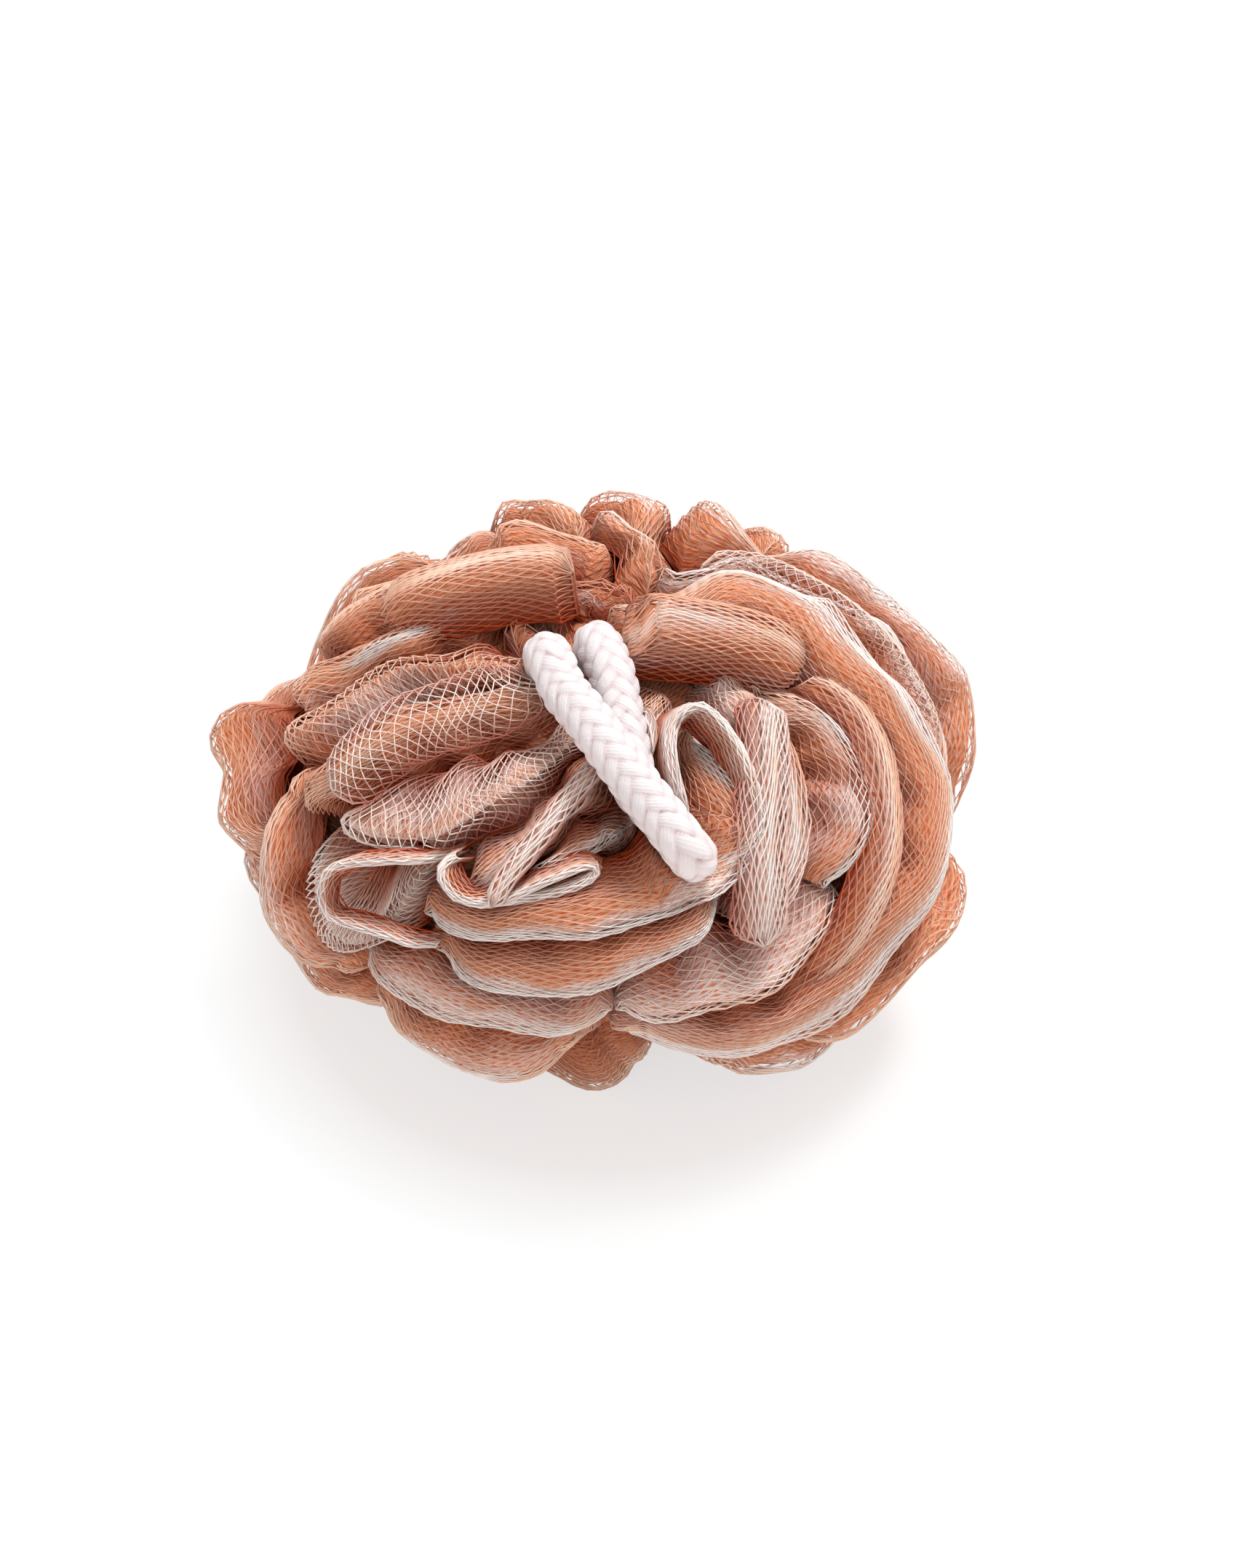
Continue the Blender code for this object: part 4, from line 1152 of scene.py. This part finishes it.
def hidden_cord_material(name, scale):
    """White cord and twine where they are CAD parts: fine twisted fibre."""
    material, n, shader = new_material(name, 0.8)
    place = n.add("TexCoord").outputs["Object"]
    cells = n.add("TexVoronoi")
    cells.inputs["Scale"].default_value = scale
    n.put(cells.inputs["Vector"], place)
    # Darker between the fibres, where the bump is low: painted shade.
    share = n.spread(cells.outputs["Distance"], 0.0, 0.8, 0.0, 1.0)
    n.put(shader.inputs["Base Color"], n.between(share, TWISTED_COTTON_WITH_CREVICE_SHADE))
    n.bump(shader, share, 0.6, 0.5 * MM, invert=True)
    return material


# ---- Studio ----


def make_camera():
    camera = bpy.data.cameras.new("camera")
    obj = bpy.data.objects.new("camera", camera)
    bpy.context.scene.collection.objects.link(obj)
    tilt = math.radians(CAMERA_TILT)
    target = Vector(CAMERA_TARGET) * MM
    obj.location = target + CAMERA_AWAY * Vector((0, -math.cos(tilt), math.sin(tilt)))
    obj.rotation_euler = (math.pi / 2 - tilt, 0, 0)
    camera.sensor_fit = "VERTICAL"
    camera.sensor_height = CAMERA_SENSOR
    camera.lens = CAMERA_LENS
    camera.clip_start = 0.01
    bpy.context.scene.camera = obj


def make_floor():
    """A pale floor that keeps the pouf's shadow and turns to plain white further out."""
    bm = bmesh.new()
    bmesh.ops.create_grid(bm, x_segments=1, y_segments=1, size=1.5)
    material, n, shader = new_material("white floor", 0.7)
    length = n.add("VectorMath", operation="LENGTH")
    n.put(length.inputs[0], n.add("TexCoord").outputs["Object"])
    shader.inputs["Base Color"].default_value = rgb(FLOOR_COLOUR)
    plain = n.add("Emission")
    plain.inputs["Color"].default_value = rgb(PURE_WHITE)
    share = n.spread(length.outputs["Value"], *FLOOR_FADE, 0.68, 1.0)
    share = n.math("MULTIPLY", share, n.seen_by_eye())
    n.mix_shaders(share, shader.outputs[0], plain.outputs[0], "Material Output")
    finished("floor", bm, material)


def make_lights():
    scene = bpy.context.scene
    world = bpy.data.worlds.new("studio")
    scene.world = world
    world.use_nodes = True
    n = Nodes(world.node_tree)
    soft = world.node_tree.nodes["Background"]
    soft.inputs["Color"].default_value = rgb(SKY_COLOUR)
    soft.inputs["Strength"].default_value = WORLD_STRENGTH
    plain = n.add("Background")
    plain.inputs["Color"].default_value = rgb(PURE_WHITE)
    n.mix_shaders(n.seen_by_eye(), soft.outputs[0], plain.outputs[0], "World Output")
    for name, (turn, strength, wide) in LAMPS.items():
        light = bpy.data.lights.new(name, "SUN")
        light.energy = strength
        light.angle = math.radians(wide)
        obj = bpy.data.objects.new(name, light)
        obj.rotation_euler = [math.radians(a) for a in turn]
        scene.collection.objects.link(obj)


def ride_net(*pieces):
    """These pieces turn with the pouf."""
    for piece in pieces:
        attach(piece, "net_pouf")


def make_bands(strands, bunched):
    """The bands, each under the name of the loop that it belongs to."""
    on_loops = {}
    for k, (name, (half, depth, rounded, white, rim, under, points)) in enumerate(BANDS.items()):
        band = Band(name, half, depth, rounded, white, rim, points, FIRST_BAND_SEED + k)
        pieces = [make_net(band, BAND_LAYERS, strands)[0]]
        if not band.see_through:
            pieces.append(make_folds(band, bunched))
        ride_net(*pieces)
        on_loops.setdefault(under, []).extend(pieces)
    return on_loops


def make_loops(loops, strands, bunched):
    """Each loop's net and folds, which turn with the pouf, in place of the loop's CAD part."""
    for loop in loops:
        folds = make_folds(loop, bunched)
        net, area = make_net(loop, LAYERS_CLOSE if loop.name in NETS else LAYERS_PLAIN, strands)
        ride_net(net, folds)
        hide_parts(loop.name)


def dress_cad_parts():
    """The waist, the knot and the twine keep their CAD shapes, in their own materials."""
    dressed = {
        "gathered_waist": waist_material(),
        "cord_knot": hidden_cord_material("knotted cotton", 700),
        "binding_twine": hidden_cord_material("twisted twine", 1600),
    }
    for name, material in dressed.items():
        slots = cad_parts[name].data.materials
        slots.clear()
        slots.append(material)


bpy.context.scene.view_settings.view_transform = "Standard"
make_camera()
make_cord(cotton_material())

bunched = folds_material(net_pattern_group())
strands = net_material()
loops = all_loops()
on_loops = make_bands(strands, bunched)
core = core_piece(bunched)
ride_net(core)
on_loops.setdefault("loop_rest", []).append(core)
make_loops(loops, strands, bunched)

dress_cad_parts()
make_floor()
make_lights()
